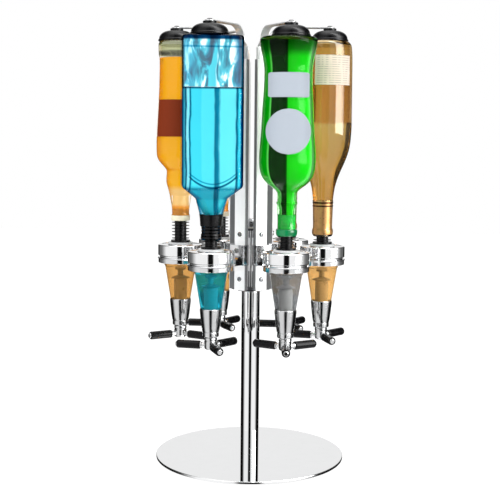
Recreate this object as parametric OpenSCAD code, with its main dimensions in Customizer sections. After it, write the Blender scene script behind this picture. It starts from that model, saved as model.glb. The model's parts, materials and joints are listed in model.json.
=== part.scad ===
// Rotary drink dispenser: six inverted bottles on a carousel, each with its own measuring tap.
// Origin at the centre of the base's underside, +Z up, the front faces -Y. Millimetres.

/* [Base] */
// Diameter of the round base plate
base_d = 300; // [240:1:340]
// Thickness of the base plate
base_t = 4; // [3:0.5:8]
// Thickness of the anti-slip pad under the plate
pad_t = 1; // [0.5:0.5:3]
// How far the pad stays inside the plate's edge
pad_inset = 4; // [1:0.5:20]
// Diameter of the base screw's shank
base_screw_d = 8; // [6:0.5:10]

/* [Post] */
// Outer diameter of the lower post tube
post_d = 29; // [26:0.5:40]
// Wall of the post tube
post_wall = 1.5; // [1:0.25:2.5]
// Length of the lower post tube
post_len = 264; // [220:1:320]
// Length of the plugs at both ends of the post
plug_len = 30; // [24:1:50]
// Diameter of the fixed spindle that the carousel turns on
spindle_d = 10; // [8:0.5:12]

/* [Hub] */
// Distance over the two hub plates
hub_h = 98; // [90:1:110]
// Thickness of the hub plates and of their bent tabs
hub_plate_t = 2.5; // [2:0.25:3]
// Outer diameter of the hub sleeve between the plates
sleeve_d = 20; // [18:0.5:24]
// Wall of the plain bushes in the hub
bush_wall = 2.5; // [1.5:0.25:3]
// Length of each bush below its flange
bush_len = 18; // [12:1:30]
// Thickness of the bush flanges
bush_flange_t = 1.5; // [1:0.25:2.5]
// Thickness of the thrust washer and of the top washer
washer_t = 1; // [0.5:0.25:2]

/* [Rails] */
// Length of each rail
rail_len = 357; // [330:1:380]
// Width of a rail's face
rail_w = 19.5; // [18:0.5:22]
// Depth of the rail's C section
rail_depth = 9.5; // [9:0.25:11]
// Sheet thickness of the rail
rail_t = 1.5; // [1:0.25:2]
// Width of the two lips that turn in at the back
rail_lip = 3; // [2:0.25:4]
// Distance from the axis to the outer face of a rail
rail_face_r = 34; // [33:0.5:38]
// Diameter of the rail screws
rail_screw_d = 4; // [3:0.5:5]

/* [Holder] */
// Distance from the carousel's axis to the axis of each tap
tap_r = 112.4; // [108:0.1:125]
// Height of the holder ring's underside above the rail's lower end
holder_up = 40; // [35:1:60]
// Thickness of the holder ring
ring_t = 8.7; // [6:0.1:10]
// Outer diameter of the holder ring
ring_d = 70; // [69:0.5:74]
// Height of the saddle that grips the rail
saddle_h = 32; // [28:1:40]
// Width of the saddle
saddle_w = 26.6; // [26:0.1:27.5]

/* [Tap] */
// Diameter of the tap's collar
collar_d = 70.8; // [68:0.1:74]
// Height of the collar's rim above the holder ring
collar_h = 19.9; // [16:0.1:24]
// Diameter of the disc on top of the collar
cap_d = 39.6; // [36:0.1:44]
// Thickness of that disc
cap_t = 3.7; // [2:0.1:5]
// Diameter of the measuring chamber at its top
chamber_top_d = 48.4; // [46:0.1:52]
// Diameter of the measuring chamber at its lower end
chamber_low_d = 31.6; // [30:0.1:34]
// Visible length of the measuring chamber
chamber_h = 52.6; // [48:0.1:60]
// Wall of the measuring chamber
chamber_wall = 1.8; // [1.4:0.1:2.5]
// Height of the spout cone under the chamber
cone_h = 42.4; // [40:0.1:46]
// Diameter of the spout cone's lip
lip_d = 25; // [24:0.1:28]

/* [Stopper] */
// Diameter of the stopper's core
stopper_d = 18.4; // [14:0.1:19]
// Diameter of a free sealing fin
fin_d = 28; // [24:0.5:30]
// Distance between fins
fin_pitch = 5; // [4:0.5:8]
// Height of the stopper above its flange
stopper_len = 48; // [44:1:60]
// Inner diameter of every bottle neck
neck_bore_d = 19.5; // [19.5:0.1:20]

/* [Plunger] */
// Diameter of the plunger's knuckle
knuckle_d = 19.6; // [18:0.1:20]
// Diameter of the plunger's stem
stem_d = 8.6; // [7:0.1:9]
// Travel of the plunger
travel = 9; // [6:0.5:9]
// Reach of the levers from the tap's axis, without the end caps
lever_reach = 53; // [48:0.5:53.5]
// Diameter of the lever sleeves
lever_sleeve_d = 12.6; // [11:0.1:13]
// Length of the lever sleeves
lever_sleeve_len = 37; // [30:0.5:38]
// Diameter of the lever rods
lever_rod_d = 7; // [5:0.1:7.5]
// Wire of the return spring
spring_wire = 1.4; // [1:0.1:1.8]
// Turns of the return spring
spring_turns = 6; // [5:1:7]

/* [Clamp] */
// Width of the clamp's strip
strip_w = 16; // [12:0.5:16]
// Width of the strip above the rail, over the bend and the arm
arm_w = 12.5; // [10:0.5:16]
// Thickness of the strip
strip_t = 2; // [1.5:0.25:2.5]
// Outer bend radius of the strip
bend_r = 20; // [12:0.5:22]
// Length of strip that stays inside the rail
leg_in_rail = 200; // [120:1:210]
// How far the strip steps outwards above the rail
crank = 9; // [4:0.5:12]
// How far the cup sits outside the tap's axis
cup_out = 6.5; // [0:0.5:8]
// Travel of the clamp
clamp_travel = 90; // [40:1:100]
// Diameter of the rubber cup
cup_d = 58; // [50:0.5:60]
// Height of the rubber cup's dome
cup_h = 16.5; // [12:0.5:20]
// Height of the cup's neck
cup_neck_h = 3.5; // [2:0.5:6]

/* [Bottles] */
// Height of the square-shouldered bottle
square_h = 301; // [290:1:310]
// Width of the square-shouldered bottle
square_w = 90.6; // [80:0.1:92]
// Depth of the square-shouldered bottle
square_depth = 62; // [50:0.5:80]
// Width of the shallow panel in each wide face of the square-shouldered bottle
panel_w = 73; // [60:0.5:76]
// Depth of that panel
panel_depth = 1.2; // [0.6:0.1:1.8]
// Height of the waisted bottle
waist_h = 292; // [280:1:300]
// Height of the wine-shaped bottle
wine_h = 302; // [290:1:310]
// Height of the slim bottle
slim_h = 279; // [270:1:290]
// Glass wall
glass_t = 3; // [2:0.5:5]
// Glass thickness at the bottles' bases
glass_base_t = 6; // [4:0.5:10]

/* [Hidden] */
$fn = 72;
slip = 0.2;        // gap between faces that slide on each other
run_fit = 0.05;    // radial clearance of shafts and pistons
soft_gap = 0.3;    // gap between curved or soft faces of different bodies
stations = 6;
step_angle = 360 / stations;
lever_count = 3;

// How each station is loaded: bottle form, height of its mouth above the stopper's flange,
// turn of the bottle and turn of the levers, seen from above.
load_form = ["square", "waist", "wine", "wine", "slim", "slim"];
mouth_up = [10, 17, 9, 9, 31, 31];
bottle_turn = [39, 0, 0, 0, 0, 0];
lever_turn = [49, -28, 48, -3, 57, 32];

// Stack of heights from the floor up
base_top = pad_t + base_t;
post_top = base_top + post_len;
washer_top = post_top + washer_t;
hub_z = washer_top + slip + bush_flange_t;
hub_top = hub_z + hub_h;
top_flange_z = hub_top + bush_flange_t;
top_washer_z = top_flange_z + slip;
nut_z = top_washer_z + washer_t;
nut_h = 8;
nut_af = 15;
spindle_top = nut_z + nut_h + 4;

// Base
edge_r = 1;
screw_head_d = 2 * base_screw_d;

// Hub
bush_d = spindle_d + 2 * run_fit + 2 * bush_wall;
flange_d = bush_d + 6;
tab_face_r = rail_face_r - rail_t;
tab_w = rail_w - 2 * (rail_lip + rail_t) - 2 * slip;
low_tab_h = 27;
top_tab_h = 17;
low_screw_z = hub_z + 19.5;
top_screw_z = hub_top - 8;

// Rails
rail_z = hub_z + 2;
rail_top = rail_z + rail_len;
rail_back_r = rail_face_r - rail_depth;
screw_head = 2.05 * rail_screw_d;

// Holder and tap
holder_z = rail_z + holder_up;
ring_top = holder_z + ring_t;
ring_bore = 62.6;
ring_r = ring_d / 2;
ring_lip = 1.2;
saddle_out_r = rail_face_r + 9;
saddle_in_r = rail_face_r - 7;
grip_screw_z = holder_z + saddle_h - 9;
groove_h = 2.8;
rim_z = ring_top + groove_h;
collar_top = ring_top + collar_h;
cap_top = collar_top + cap_t;
stopper_flange_t = 3;
flange_top = cap_top + stopper_flange_t;
skirt_h = 5.7;
rim_out = 1.2;
chamber_z = holder_z - skirt_h;
chamber_low_z = chamber_z - chamber_h;
chamber_seat = 10;
spigot_h = 4.4;
flow_r = 5;

// Spout cone
cone_wall = 0.8;
cone_top_d = chamber_low_d + 2 * cone_wall + 0.1;
socket_z = chamber_low_z - spigot_h;
web_t = 6;
web_z = socket_z - web_t;
cone_z = chamber_low_z - cone_h;
spring_room_r = knuckle_d / 2 + soft_gap;
step_h = 7;

// Plunger
knuckle_top = cone_z - soft_gap;
knuckle_h = 19.7;
shoulder_r = 2.5;
knuckle_z = knuckle_top - knuckle_h;
lever_z = knuckle_z + 6;
tube_h = 37;
tube_top = socket_z + tube_h;
tube_d = 19.6;
umbrella_z = tube_top + soft_gap;
umbrella_d = 28.6;
seal_d = 16.5;
seal_h = 6;
seal_top = chamber_z + chamber_seat - travel - 1.5;
cap_len = 2;
spring_r = 7.2;
spring_low = knuckle_top + soft_gap;
spring_top = web_z - soft_gap;

// Clamp
leg_r = rail_back_r + rail_t + soft_gap;
neck_d = 20;
rivet_d = 10;
crank_z = rail_top + 22;
crank_h = 8;
cup_r = tap_r + cup_out;

// Bottles
bottle_h = [for (form = load_form) form == "square" ? square_h : form == "waist" ? waist_h
    : form == "wine" ? wine_h : slim_h];
mouth_z = [for (up = mouth_up) flange_top + up];
bottle_top = [for (i = [0:stations - 1]) mouth_z[i] + bottle_h[i]];
neck_bore_len = 40;

// ---- shared shapes ----

// Puts its children at station i, with +X pointing outwards. Station 1 is left of the front.
module at_station(i) rotate([0, 0, (i - 1.5) * step_angle - 90]) children();
module at_tap(i) at_station(i) translate([tap_r, 0, 0]) children();
module each_station() for (i = [1:stations]) at_station(i) children();
module each_tap() for (i = [1:stations]) at_tap(i) children();

// Turns a list of [radius, height] points about the axis
module turned(points) rotate_extrude() polygon(points);

module tube(d_out, d_in, h) {
    difference() {
        cylinder(h = h, d = d_out);
        translate([0, 0, -1]) cylinder(h = h + 2, d = d_in);
    }
}

// Rectangle with round corners, centred
module soft_rect(w, d, r) {
    square([w - 2 * r, d], center = true);
    square([w, d - 2 * r], center = true);
    for (x = [-1, 1], y = [-1, 1]) translate([x * (w / 2 - r), y * (d / 2 - r)]) circle(r);
}

// Points of an arc about [x, y], from angle a to angle b in n steps
function arc(x, y, r, a, b, n = 6) =
    [for (k = [0:n]) let (t = a + (b - a) * k / n) [x + r * cos(t), y + r * sin(t)]];

// Smooth curve through the points p, with n steps a span
function spline(a, b, c, d, t) = 0.5 * (2 * b + (c - a) * t + (2 * a - 5 * b + 4 * c - d) * t * t
    + (3 * b - a - 3 * c + d) * t * t * t);
function smooth(p, n = 4) = let (last = len(p) - 1) concat(
    [for (i = [0:last - 1]) for (k = [0:n - 1])
        spline(p[max(i - 1, 0)], p[i], p[i + 1], p[min(i + 2, last)], k / n)],
    [p[last]]);

// ---- base and post ----

module base_pad() {
    color("#202022") cylinder(h = pad_t, d = base_d - 2 * pad_inset);
}

module base_plate() {
    rim = base_d / 2 - edge_r;
    color("#e8eaec") translate([0, 0, pad_t]) difference() {
        turned(concat([[0, 0]], arc(rim, edge_r, edge_r, -90, 0, 4),
            arc(rim, base_t - edge_r, edge_r, 0, 90, 4), [[0, base_t]]));
        translate([0, 0, -1]) cylinder(h = base_t + 2, d = base_screw_d);
        cylinder(h = base_t, d1 = screw_head_d, d2 = base_screw_d);
    }
}

module base_screw() {
    color("#9a9da0") translate([0, 0, pad_t]) {
        cylinder(h = base_t, d1 = screw_head_d, d2 = base_screw_d);
        cylinder(h = base_t + plug_len - 4, d = base_screw_d);
    }
}

module lower_post() {
    color("#d8dadd") translate([0, 0, base_top]) tube(post_d, post_d - 2 * post_wall, post_len);
}

module foot_plug() {
    color("#8b8e92") translate([0, 0, base_top])
        tube(post_d - 2 * post_wall, base_screw_d, plug_len);
}

module bearing_plug() {
    color("#8b8e92") translate([0, 0, post_top - plug_len])
        tube(post_d - 2 * post_wall, spindle_d, plug_len);
}

module spindle() {
    tip = 1;
    bottom = post_top - plug_len;
    color("#c4c7ca") {
        translate([0, 0, bottom]) cylinder(h = spindle_top - tip - bottom, d = spindle_d);
        translate([0, 0, spindle_top - tip]) cylinder(h = tip, d1 = spindle_d, d2 = spindle_d - 2 * tip);
    }
}

module thrust_washer() {
    color("#b9bcc0") translate([0, 0, post_top]) tube(post_d - 2, spindle_d, washer_t);
}

module top_washer() {
    color("#c4c7ca") translate([0, 0, top_washer_z]) tube(flange_d, spindle_d, washer_t);
}

module top_nut() {
    chamfer = 1.2;
    color("#d0d3d6") translate([0, 0, nut_z]) difference() {
        intersection() {
            cylinder(h = nut_h, d = nut_af / cos(30), $fn = 6);
            union() {
                cylinder(h = nut_h - chamfer, d = nut_af / cos(30) + 1);
                translate([0, 0, nut_h - chamfer])
                    cylinder(h = chamfer, d1 = nut_af / cos(30) + 1, d2 = nut_af - 1);
            }
        }
        translate([0, 0, -1]) cylinder(h = nut_h + 2, d = spindle_d);
    }
}

// ---- hub ----

module bush(z, up) {
    bore = spindle_d + 2 * run_fit;
    translate([0, 0, z]) mirror([0, 0, up ? 0 : 1]) {
        tube(flange_d, bore, bush_flange_t);
        translate([0, 0, -bush_len]) tube(bush_d, bore, bush_len);
    }
}

module hub_bushes() {
    color("#e6e2d6") {
        bush(hub_z, false);
        bush(hub_top, true);
    }
}

// Flat hexagon between the rails, with one tongue a station that passes between the rail's lips
// and is bent upwards behind its face
module hub_plate(tab_h, screw_up) {
    edge = rail_back_r - slip;
    difference() {
        union() {
            cylinder(h = hub_plate_t, r = edge / cos(30), $fn = 6);
            for (i = [1:stations]) at_station(i) rotate([90, 0, 0])
                linear_extrude(tab_w, center = true) bent_tab(edge, tab_h);
        }
        translate([0, 0, -1]) cylinder(h = hub_plate_t + 2, d = bush_d);
        for (i = [1:stations]) at_station(i) translate([tab_face_r - hub_plate_t - 1, 0, screw_up])
            rotate([0, 90, 0]) cylinder(h = hub_plate_t + 2, d = rail_screw_d);
    }
}

// Section of a tongue: flat from the hexagon's edge, a quarter bend, and the upright tab
module bent_tab(edge, tab_h) {
    bend = 2 * hub_plate_t;
    bend_x = tab_face_r - bend;
    translate([bend_x, bend]) intersection() {
        difference() {
            circle(bend);
            circle(bend - hub_plate_t);
        }
        translate([0, -bend]) square(bend);
    }
    translate([tab_face_r - hub_plate_t, bend]) square([hub_plate_t, tab_h - bend]);
    translate([edge - 1, 0]) square([bend_x - edge + 1, hub_plate_t]);
}

module hub_lower_plate() {
    color("#3c3e42") translate([0, 0, hub_z]) hub_plate(low_tab_h, low_screw_z - hub_z);
}

module hub_upper_plate() {
    color("#3c3e42") translate([0, 0, hub_top]) mirror([0, 0, 1]) hub_plate(top_tab_h, hub_top - top_screw_z);
}

module hub_sleeve() {
    color("#caccd0") translate([0, 0, hub_z + hub_plate_t])
        tube(sleeve_d, bush_d, hub_h - 2 * hub_plate_t);
}

// ---- rails ----

module rail_section() {
    inner_w = rail_w - 2 * rail_t;
    difference() {
        translate([rail_face_r - rail_depth / 2, 0]) soft_rect(rail_depth, rail_w, 0.8);
        translate([rail_back_r + rail_t, -inner_w / 2]) square([rail_depth - 2 * rail_t, inner_w]);
        translate([rail_back_r - 1, rail_lip + rail_t - rail_w / 2])
            square([rail_t + 2, rail_w - 2 * (rail_lip + rail_t)]);
    }
}

module rails() {
    color("#c9cccf") each_station() difference() {
        translate([0, 0, rail_z]) linear_extrude(rail_len) rail_section();
        for (z = [low_screw_z, grip_screw_z, top_screw_z]) translate([tab_face_r - 1, 0, z])
            rotate([0, 90, 0]) cylinder(h = rail_t + 2, d = rail_screw_d);
    }
}

// Dome-headed screw that points inwards from x
module dome_screw(x, shank) {
    head_h = 0.3 * screw_head;
    rotate([0, -90, 0]) translate([0, 0, -x]) {
        cylinder(h = shank, d = rail_screw_d);
        rotate_extrude() intersection() {
            translate([0, head_h]) resize_dome(screw_head, 2 * head_h);
            translate([0, -head_h]) square([screw_head, head_h]);
        }
    }
}

// Half lens: an arc over the width w with the height h / 2
module resize_dome(w, h) {
    rise = h / 2;
    r = (w * w / 4 + rise * rise) / (2 * rise);
    translate([0, r - 2 * rise]) circle(r);
}

module rail_screws() {
    color("#a9acb0") each_station() for (z = [low_screw_z, top_screw_z]) translate([0, 0, z])
        dome_screw(rail_face_r, rail_t + hub_plate_t + 0.5);
}

// ---- holders ----

module holder_brackets() {
    color("#b4b7bb") each_station() translate([0, 0, holder_z]) difference() {
        union() {
            linear_extrude(saddle_h) translate([(saddle_in_r + saddle_out_r) / 2, 0])
                soft_rect(saddle_out_r - saddle_in_r, saddle_w, 2);
            rotate([90, 0, 0]) linear_extrude(10, center = true) bracket_arm();
            translate([tap_r, 0, 0]) turned([[0, 0], [ring_r - 0.5, 0], [ring_r, 0.5],
                [ring_r, ring_t - 2.4], [ring_r + ring_lip, ring_t - 1.4],
                [ring_r + ring_lip, ring_t - 0.4], [ring_r + ring_lip - 0.4, ring_t], [0, ring_t]]);
        }
        translate([tap_r, 0, -1]) cylinder(h = ring_t + 2, d = ring_bore);
        translate([saddle_in_r - 1, -rail_w / 2, -1])
            cube([rail_face_r - saddle_in_r + 1, rail_w, saddle_h + 2]);
        translate([rail_face_r - 1, 0, grip_screw_z - holder_z])
            rotate([0, 90, 0]) cylinder(h = saddle_out_r, d = rail_screw_d);
    }
}

// Side view of the bracket's arm: a bar with a curved gusset up the saddle
module bracket_arm() {
    root = saddle_out_r - 1;
    sweep = 12;
    polygon(concat(
        [[root, 0], [tap_r - ring_bore / 2 - 1, 0], [tap_r - ring_bore / 2 - 1, ring_t]],
        arc(root + sweep, ring_t + sweep, sweep, 270, 180), [[root, ring_t + sweep]]));
}

module bracket_screws() {
    color("#8f9296") each_station() translate([0, 0, grip_screw_z])
        dome_screw(saddle_out_r, saddle_out_r - tab_face_r + rail_t);
}

// ---- taps: the fixed pieces ----

module tap_collars() {
    rim = collar_d / 2;
    chamfer = 0.8;
    seat = chamber_top_d / 2 + run_fit;
    seat_top = chamber_z + chamber_seat;
    color("#cfd2d5") each_tap() turned([
        [flow_r, seat_top], [seat, seat_top], [seat, holder_z], [ring_bore / 2 - run_fit, holder_z],
        [ring_bore / 2 - run_fit, ring_top], [rim - 2.5, ring_top], [rim - 2.5, rim_z],
        [rim - chamfer, rim_z], [rim, rim_z + chamfer], [rim, collar_top - chamfer],
        [rim - chamfer, collar_top], [rim - 3, collar_top], [rim - 4, collar_top - 0.8],
        [cap_d / 2 + 1, collar_top - 0.8], [cap_d / 2, collar_top], [flow_r, collar_top]]);
}

module tap_caps() {
    r = cap_d / 2;
    color("#e4e6e8") each_tap() translate([0, 0, collar_top]) turned(concat(
        [[flow_r, 0], [r - 1, 0], [r, 1]], arc(r - 1, cap_t - 1, 1, 0, 90, 4), [[flow_r, cap_t]]));
}

// Ribbed stopper: the fins inside the bottle's neck are squeezed to its bore
module stopper(mouth) {
    fin_t = 1.2;
    first = 2.5;
    bore_fin = neck_bore_d / 2 - run_fit;
    core = stopper_d / 2;
    tip = 4;
    fins = floor((stopper_len - tip - first) / fin_pitch);
    body = [for (k = [0:fins]) let (z = flange_top + first + k * fin_pitch,
            r = z + fin_t > mouth - 0.5 ? bore_fin : fin_d / 2)
        each [[core, z], [r, z + 0.3], [r, z + fin_t - 0.3], [core, z + fin_t]]];
    flange = fin_d / 2 + 1.2;
    top = flange_top + stopper_len;
    turned(concat([[flow_r - 1, cap_top], [flange, cap_top], [flange, flange_top], [core, flange_top]],
        body, [[core, top - tip], [core - 2, top], [flow_r - 1, top]]));
}

module stoppers() {
    color("#1d1d1f") for (i = [1:stations]) at_tap(i) stopper(mouth_z[i - 1]);
}

module measure_chambers() {
    low = chamber_low_d / 2;
    top = chamber_top_d / 2;
    color("#7fc4d6", 0.6) each_tap() turned([
        [low - chamber_wall, socket_z], [low, socket_z], [low, chamber_low_z], [top, chamber_z],
        [top + rim_out, chamber_z + 1], [top + rim_out, holder_z], [top, holder_z],
        [top, chamber_z + chamber_seat], [top - chamber_wall, chamber_z + chamber_seat],
        [top - chamber_wall, chamber_z], [low - chamber_wall, chamber_low_z]]);
}

module valve_tubes() {
    r = tube_d / 2;
    bore = stem_d / 2 + soft_gap;
    seat = chamber_low_d / 2 - chamber_wall - run_fit;
    color("#b98a4a") each_tap() turned([
        [bore, socket_z], [seat, socket_z], [seat, socket_z + 2], [r, socket_z + 4],
        [r, tube_top - 3], [r - 1.5, tube_top], [bore, tube_top]]);
}

module spout_cones() {
    top = cone_top_d / 2;
    lip = lip_d / 2;
    step_z = cone_z + step_h;
    socket = chamber_low_d / 2 + run_fit;
    guide = stem_d / 2 + run_fit;
    color("#d3d6d9") each_tap() turned(concat([
        [spring_room_r, cone_z], [lip - 0.8, cone_z], [lip, cone_z + 0.8], [lip, step_z - 0.6],
        [lip - 0.6, step_z], [lip + 0.2, step_z + 0.8]],
        [for (k = [0:6]) let (t = k / 6) [lip + 0.4 + (top - lip - 0.4) * pow(t, 0.8),
            step_z + 1.6 + (socket_z - step_z - 1.6) * t]],
        [[top, chamber_low_z - 0.5], [top - 0.4, chamber_low_z], [socket, chamber_low_z],
        [socket, socket_z], [guide, socket_z], [guide, web_z], [spring_room_r, web_z]]));
}

// ---- taps: the moving pieces ----

module at_levers(i) for (k = [0:lever_count - 1])
    rotate([0, 0, lever_turn[i - 1] + k * 360 / lever_count]) children();

module plunger(i) {
    r = knuckle_d / 2;
    drain = 3;
    groove_z = lever_z + lever_rod_d / 2 + 3;
    color("#c3c6ca") at_tap(i) {
        turned(concat([
            [drain, knuckle_z], [r - 3, knuckle_z], [r - 1, knuckle_z + 1.2], [r, knuckle_z + 3.5],
            [r, groove_z], [r - 0.6, groove_z + 0.6], [r - 0.6, groove_z + 1.4], [r, groove_z + 2]],
            arc(r - shoulder_r, knuckle_top - shoulder_r, shoulder_r, 0, 90, 4), [[stem_d / 2, knuckle_top],
            [stem_d / 2, umbrella_z + 1.2], [umbrella_d / 2 - 1, umbrella_z], [umbrella_d / 2, umbrella_z + 1],
            [stem_d / 2 + 2, umbrella_z + 4], [stem_d / 2, umbrella_z + 5], [stem_d / 2, seal_top - seal_h],
            [seal_d / 2, seal_top - seal_h + 1], [seal_d / 2, seal_top - 1], [seal_d / 2 - 3, seal_top],
            [0, seal_top], [0, knuckle_z + 10], [drain, knuckle_z + 8]]));
        at_levers(i) translate([0, 0, lever_z]) rotate([0, 90, 0]) {
            translate([0, 0, r - 2]) cylinder(h = lever_reach - r + 2, d = lever_rod_d);
            translate([0, 0, lever_reach])
                cylinder(h = cap_len, d1 = lever_rod_d + 1.4, d2 = lever_rod_d - 1);
        }
    }
}

module lever_sleeves(i) {
    r = lever_sleeve_d / 2;
    bore = lever_rod_d / 2 + run_fit;
    color("#19191b") at_tap(i) at_levers(i) translate([lever_reach - lever_sleeve_len, 0, lever_z])
        rotate([0, 90, 0]) turned(concat([[bore, 0], [r - 1.5, 0]], arc(r - 1.3, 1.3, 1.3, -60, 0, 3),
            arc(r - 1.5, lever_sleeve_len - 1.5, 1.5, 0, 90, 4), [[bore, lever_sleeve_len]]));
}

// Return spring: one unbroken tube along a helix, its end turns closer than the rest
sides = 6;
turn_rings = 8;
rings = spring_turns * turn_rings;
function coil_z(t) = let (h = spring_top - spring_low - spring_wire, dead = 0.12)
    spring_low + spring_wire / 2 + h * (t - dead * sin(720 * t) / 3);
function coil_point(k) = let (a = 360 * k / turn_rings)
    [spring_r * cos(a), spring_r * sin(a), coil_z(k / rings)];
function coil_ring(k) = let (a = 360 * k / turn_rings, c = coil_point(k))
    [for (s = [0:sides - 1]) let (b = 360 * s / sides)
        c + spring_wire / 2 * [cos(b) * cos(a), cos(b) * sin(a), sin(b)]];
spring_gap = min([for (k = [0:rings - turn_rings])
    norm(coil_point(k + turn_rings) - coil_point(k)) - spring_wire]);
echo(spring_gap = spring_gap);

module return_spring(i) {
    points = [for (k = [0:rings]) each coil_ring(k)];
    last = rings * sides;
    walls = [for (k = [0:rings - 1]) for (s = [0:sides - 1]) let (a = k * sides + s,
            b = k * sides + (s + 1) % sides) each [[a, a + sides, b], [b, a + sides, b + sides]]];
    start = [for (s = [1:sides - 2]) [0, s, s + 1]];
    end = [for (s = [1:sides - 2]) [last, last + s + 1, last + s]];
    color("#b0b3b6") at_tap(i) polyhedron(points, concat(walls, start, end));
}

// ---- bottle clamps ----

function cup_top(i) = bottle_top[i - 1] + soft_gap + cup_h + cup_neck_h;

// Strip above its leg, seen from the side: the step outwards, the bend, and the level arm
module arm_side(i) {
    level = cup_top(i) + strip_t;
    back = leg_r + crank;
    step_z = min(crank_z, level - bend_r - crank_h);
    polygon([[leg_r, step_z - strip_t], [leg_r + strip_t, step_z - strip_t],
        [back + strip_t, step_z + crank_h - strip_t], [back + strip_t, level - bend_r],
        [back, level - bend_r], [back, step_z + crank_h], [leg_r, step_z]]);
    translate([back + bend_r, level - strip_t]) square([cup_r - back - bend_r, strip_t]);
    translate([back + bend_r, level - bend_r]) intersection() {
        difference() {
            circle(bend_r);
            circle(bend_r - strip_t);
        }
        translate([-bend_r, 0]) square(bend_r);
    }
}

module clamp_arm(i) {
    rivet_h = 2;
    foot = rail_top - leg_in_rail;
    leg_top = min(crank_z, cup_top(i) + strip_t - bend_r - crank_h);
    color("#d2d4d7") at_station(i) {
        translate([leg_r, -strip_w / 2, foot]) cube([strip_t, strip_w, leg_top - foot]);
        rotate([90, 0, 0]) linear_extrude(arm_w, center = true) arm_side(i);
        translate([cup_r, 0, cup_top(i)]) {
            cylinder(h = strip_t, d = arm_w + 2);
            translate([0, 0, strip_t]) cylinder(h = rivet_h, d1 = rivet_d, d2 = rivet_d - 4);
        }
    }
}

module clamp_cup(i) {
    r = cup_d / 2;
    neck = neck_d / 2;
    crown = [for (k = [0:10]) let (a = 9 * k)
        [neck + (r - 1.5 - neck) * cos(a), 4 + (cup_h - 4) * sin(a)]];
    color("#1b1b1d") at_station(i) translate([cup_r, 0, bottle_top[i - 1] + soft_gap])
        turned(concat([[0, 0], [r - 1, 0], [r, 1], [r - 0.5, 3]], crown,
            [[neck, cup_h + cup_neck_h], [0, cup_h + cup_neck_h]]));
}

// ---- bottles ----

// Half outlines from the mouth to the base, as [radius, height above the mouth]
function waist_side(h) = concat(smooth([[14, 0], [15.6, 3], [15.7, 10], [13.6, 14], [14.5, 47.5]]),
    [[15.7, 48.5], [15.7, 50.5], [14.6, 51.5]], smooth([[14.4, 53], [14.5, 62], [15.4, 66],
    [19.6, 70.5], [29.6, 78], [36.4, 86], [40.3, 96], [41.9, 109], [41.7, 127], [39.4, 157],
    [37.8, 190], [36.2, 215], [35.5, 243], [37.7, 261], [40.6, 273], [42.3, h - 7], [42, h - 3],
    [39, h]]));
function wine_side(h) = smooth([[14.4, 0], [16, 3], [16, 10], [14.8, 14], [15, 30], [15.4, 48], [16, 60],
    [18.2, 76], [22, 90], [27.4, 104], [33.5, 118], [38.3, 132], [41.2, 147], [42.7, 168], [42.9, 190],
    [42.6, 240], [42.3, 275], [41, h - 8], [38.6, h - 2.5], [36, h]]);
function slim_side(h) = smooth([[13.4, 0], [14.2, 1.5], [14.2, 9], [13.4, 10.5], [13.8, 20], [15.5, 30],
    [17.2, 40], [19.6, 50], [22.6, 62], [22, 78], [25.4, 84], [31.5, 91], [36, 98], [37.8, 108],
    [37.7, 137], [36.4, 160], [34.6, 190], [33.6, 215], [33.2, 250], [34.6, h - 20], [35, h - 8],
    [34.4, h - 2.5], [32, h]]);

// Inside of a round bottle: the neck's straight bore, then the wall inwards from the outline
function inside(side, h) = concat([[neck_bore_d / 2, -1], [neck_bore_d / 2, neck_bore_len]],
    [for (p = side) if (p[1] > neck_bore_len + 6)
        [max(p[0] - glass_t, neck_bore_d / 2), min(p[1], h - glass_base_t)]],
    [[0, h - glass_base_t], [0, -1]]);

module round_bottle(side, h) {
    difference() {
        turned(concat([[0, 0]], side, [[0, h]]));
        turned(inside(side, h));
    }
}

// Front or side outline of the square-shouldered bottle, half as wide as half_w, with the wall inset
function square_outline(half_w, h, inset, base) = let (w = half_w - inset, foot = 5, bend = 9,
        shoulder = 82 - inset * 0.6)
    concat(arc(w - foot, h - base - foot, foot, 90, 0, 4), arc(w - bend, shoulder + 2, bend, 0, -62, 5),
        smooth([[max(w * 0.52, 18 - inset), shoulder - 20], [17.6 - inset, 38], [16 - inset, 20]], 5));

module mirrored(points) {
    polygon(points);
    mirror([1, 0]) polygon(points);
}

// Square-shouldered body: where its front outline, its side outline and its plan all overlap
module square_body(inset, base) {
    front = concat([[0, square_h - base]], square_outline(square_w / 2, square_h, inset, base), [[0, 20]]);
    side = concat([[0, square_h - base]], square_outline(square_depth / 2, square_h, inset, base), [[0, 20]]);
    intersection() {
        rotate([90, 0, 90]) linear_extrude(square_depth, center = true) mirrored(front);
        rotate([90, 0, 0]) linear_extrude(square_w, center = true) mirrored(side);
        linear_extrude(square_h) soft_rect(square_depth - 2 * inset, square_w - 2 * inset, 10 - inset);
    }
}

// Plan of the shallow panel in a wide face: straight sides, its lower edge bowed towards the neck
module panel_face() {
    low = 78;
    bow = 18;
    corner = 4;
    half = panel_w / 2;
    top = square_h - 12;
    bottom = [for (k = [-6:6]) let (t = k / 6) [t * (half - corner), low + bow * t * t]];
    polygon(concat(bottom, [[half, low + bow + corner]],
        arc(half - corner, top - corner, corner, 0, 90, 4),
        arc(corner - half, top - corner, corner, 90, 180, 4), [[-half, low + bow + corner]]));
}

module square_bottle() {
    lip = 15.4;
    bore = neck_bore_d / 2;
    difference() {
        union() {
            square_body(0, 0);
            turned(concat([[0, 0], [lip - 1, 0], [lip, 1], [lip, 8], [lip - 1, 9]],
                smooth([[14.4, 12], [14.8, 24], [16.4, 40], [17.8, 46]], 3), [[0, 46]]));
        }
        square_body(glass_t, glass_base_t);
        for (side = [0, 1]) mirror([side, 0, 0]) translate([square_depth / 2 - panel_depth, 0, 0])
            rotate([90, 0, 90]) linear_extrude(panel_depth + 1) panel_face();
        translate([0, 0, -1]) cylinder(h = 50, r = bore);
    }
}

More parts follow.
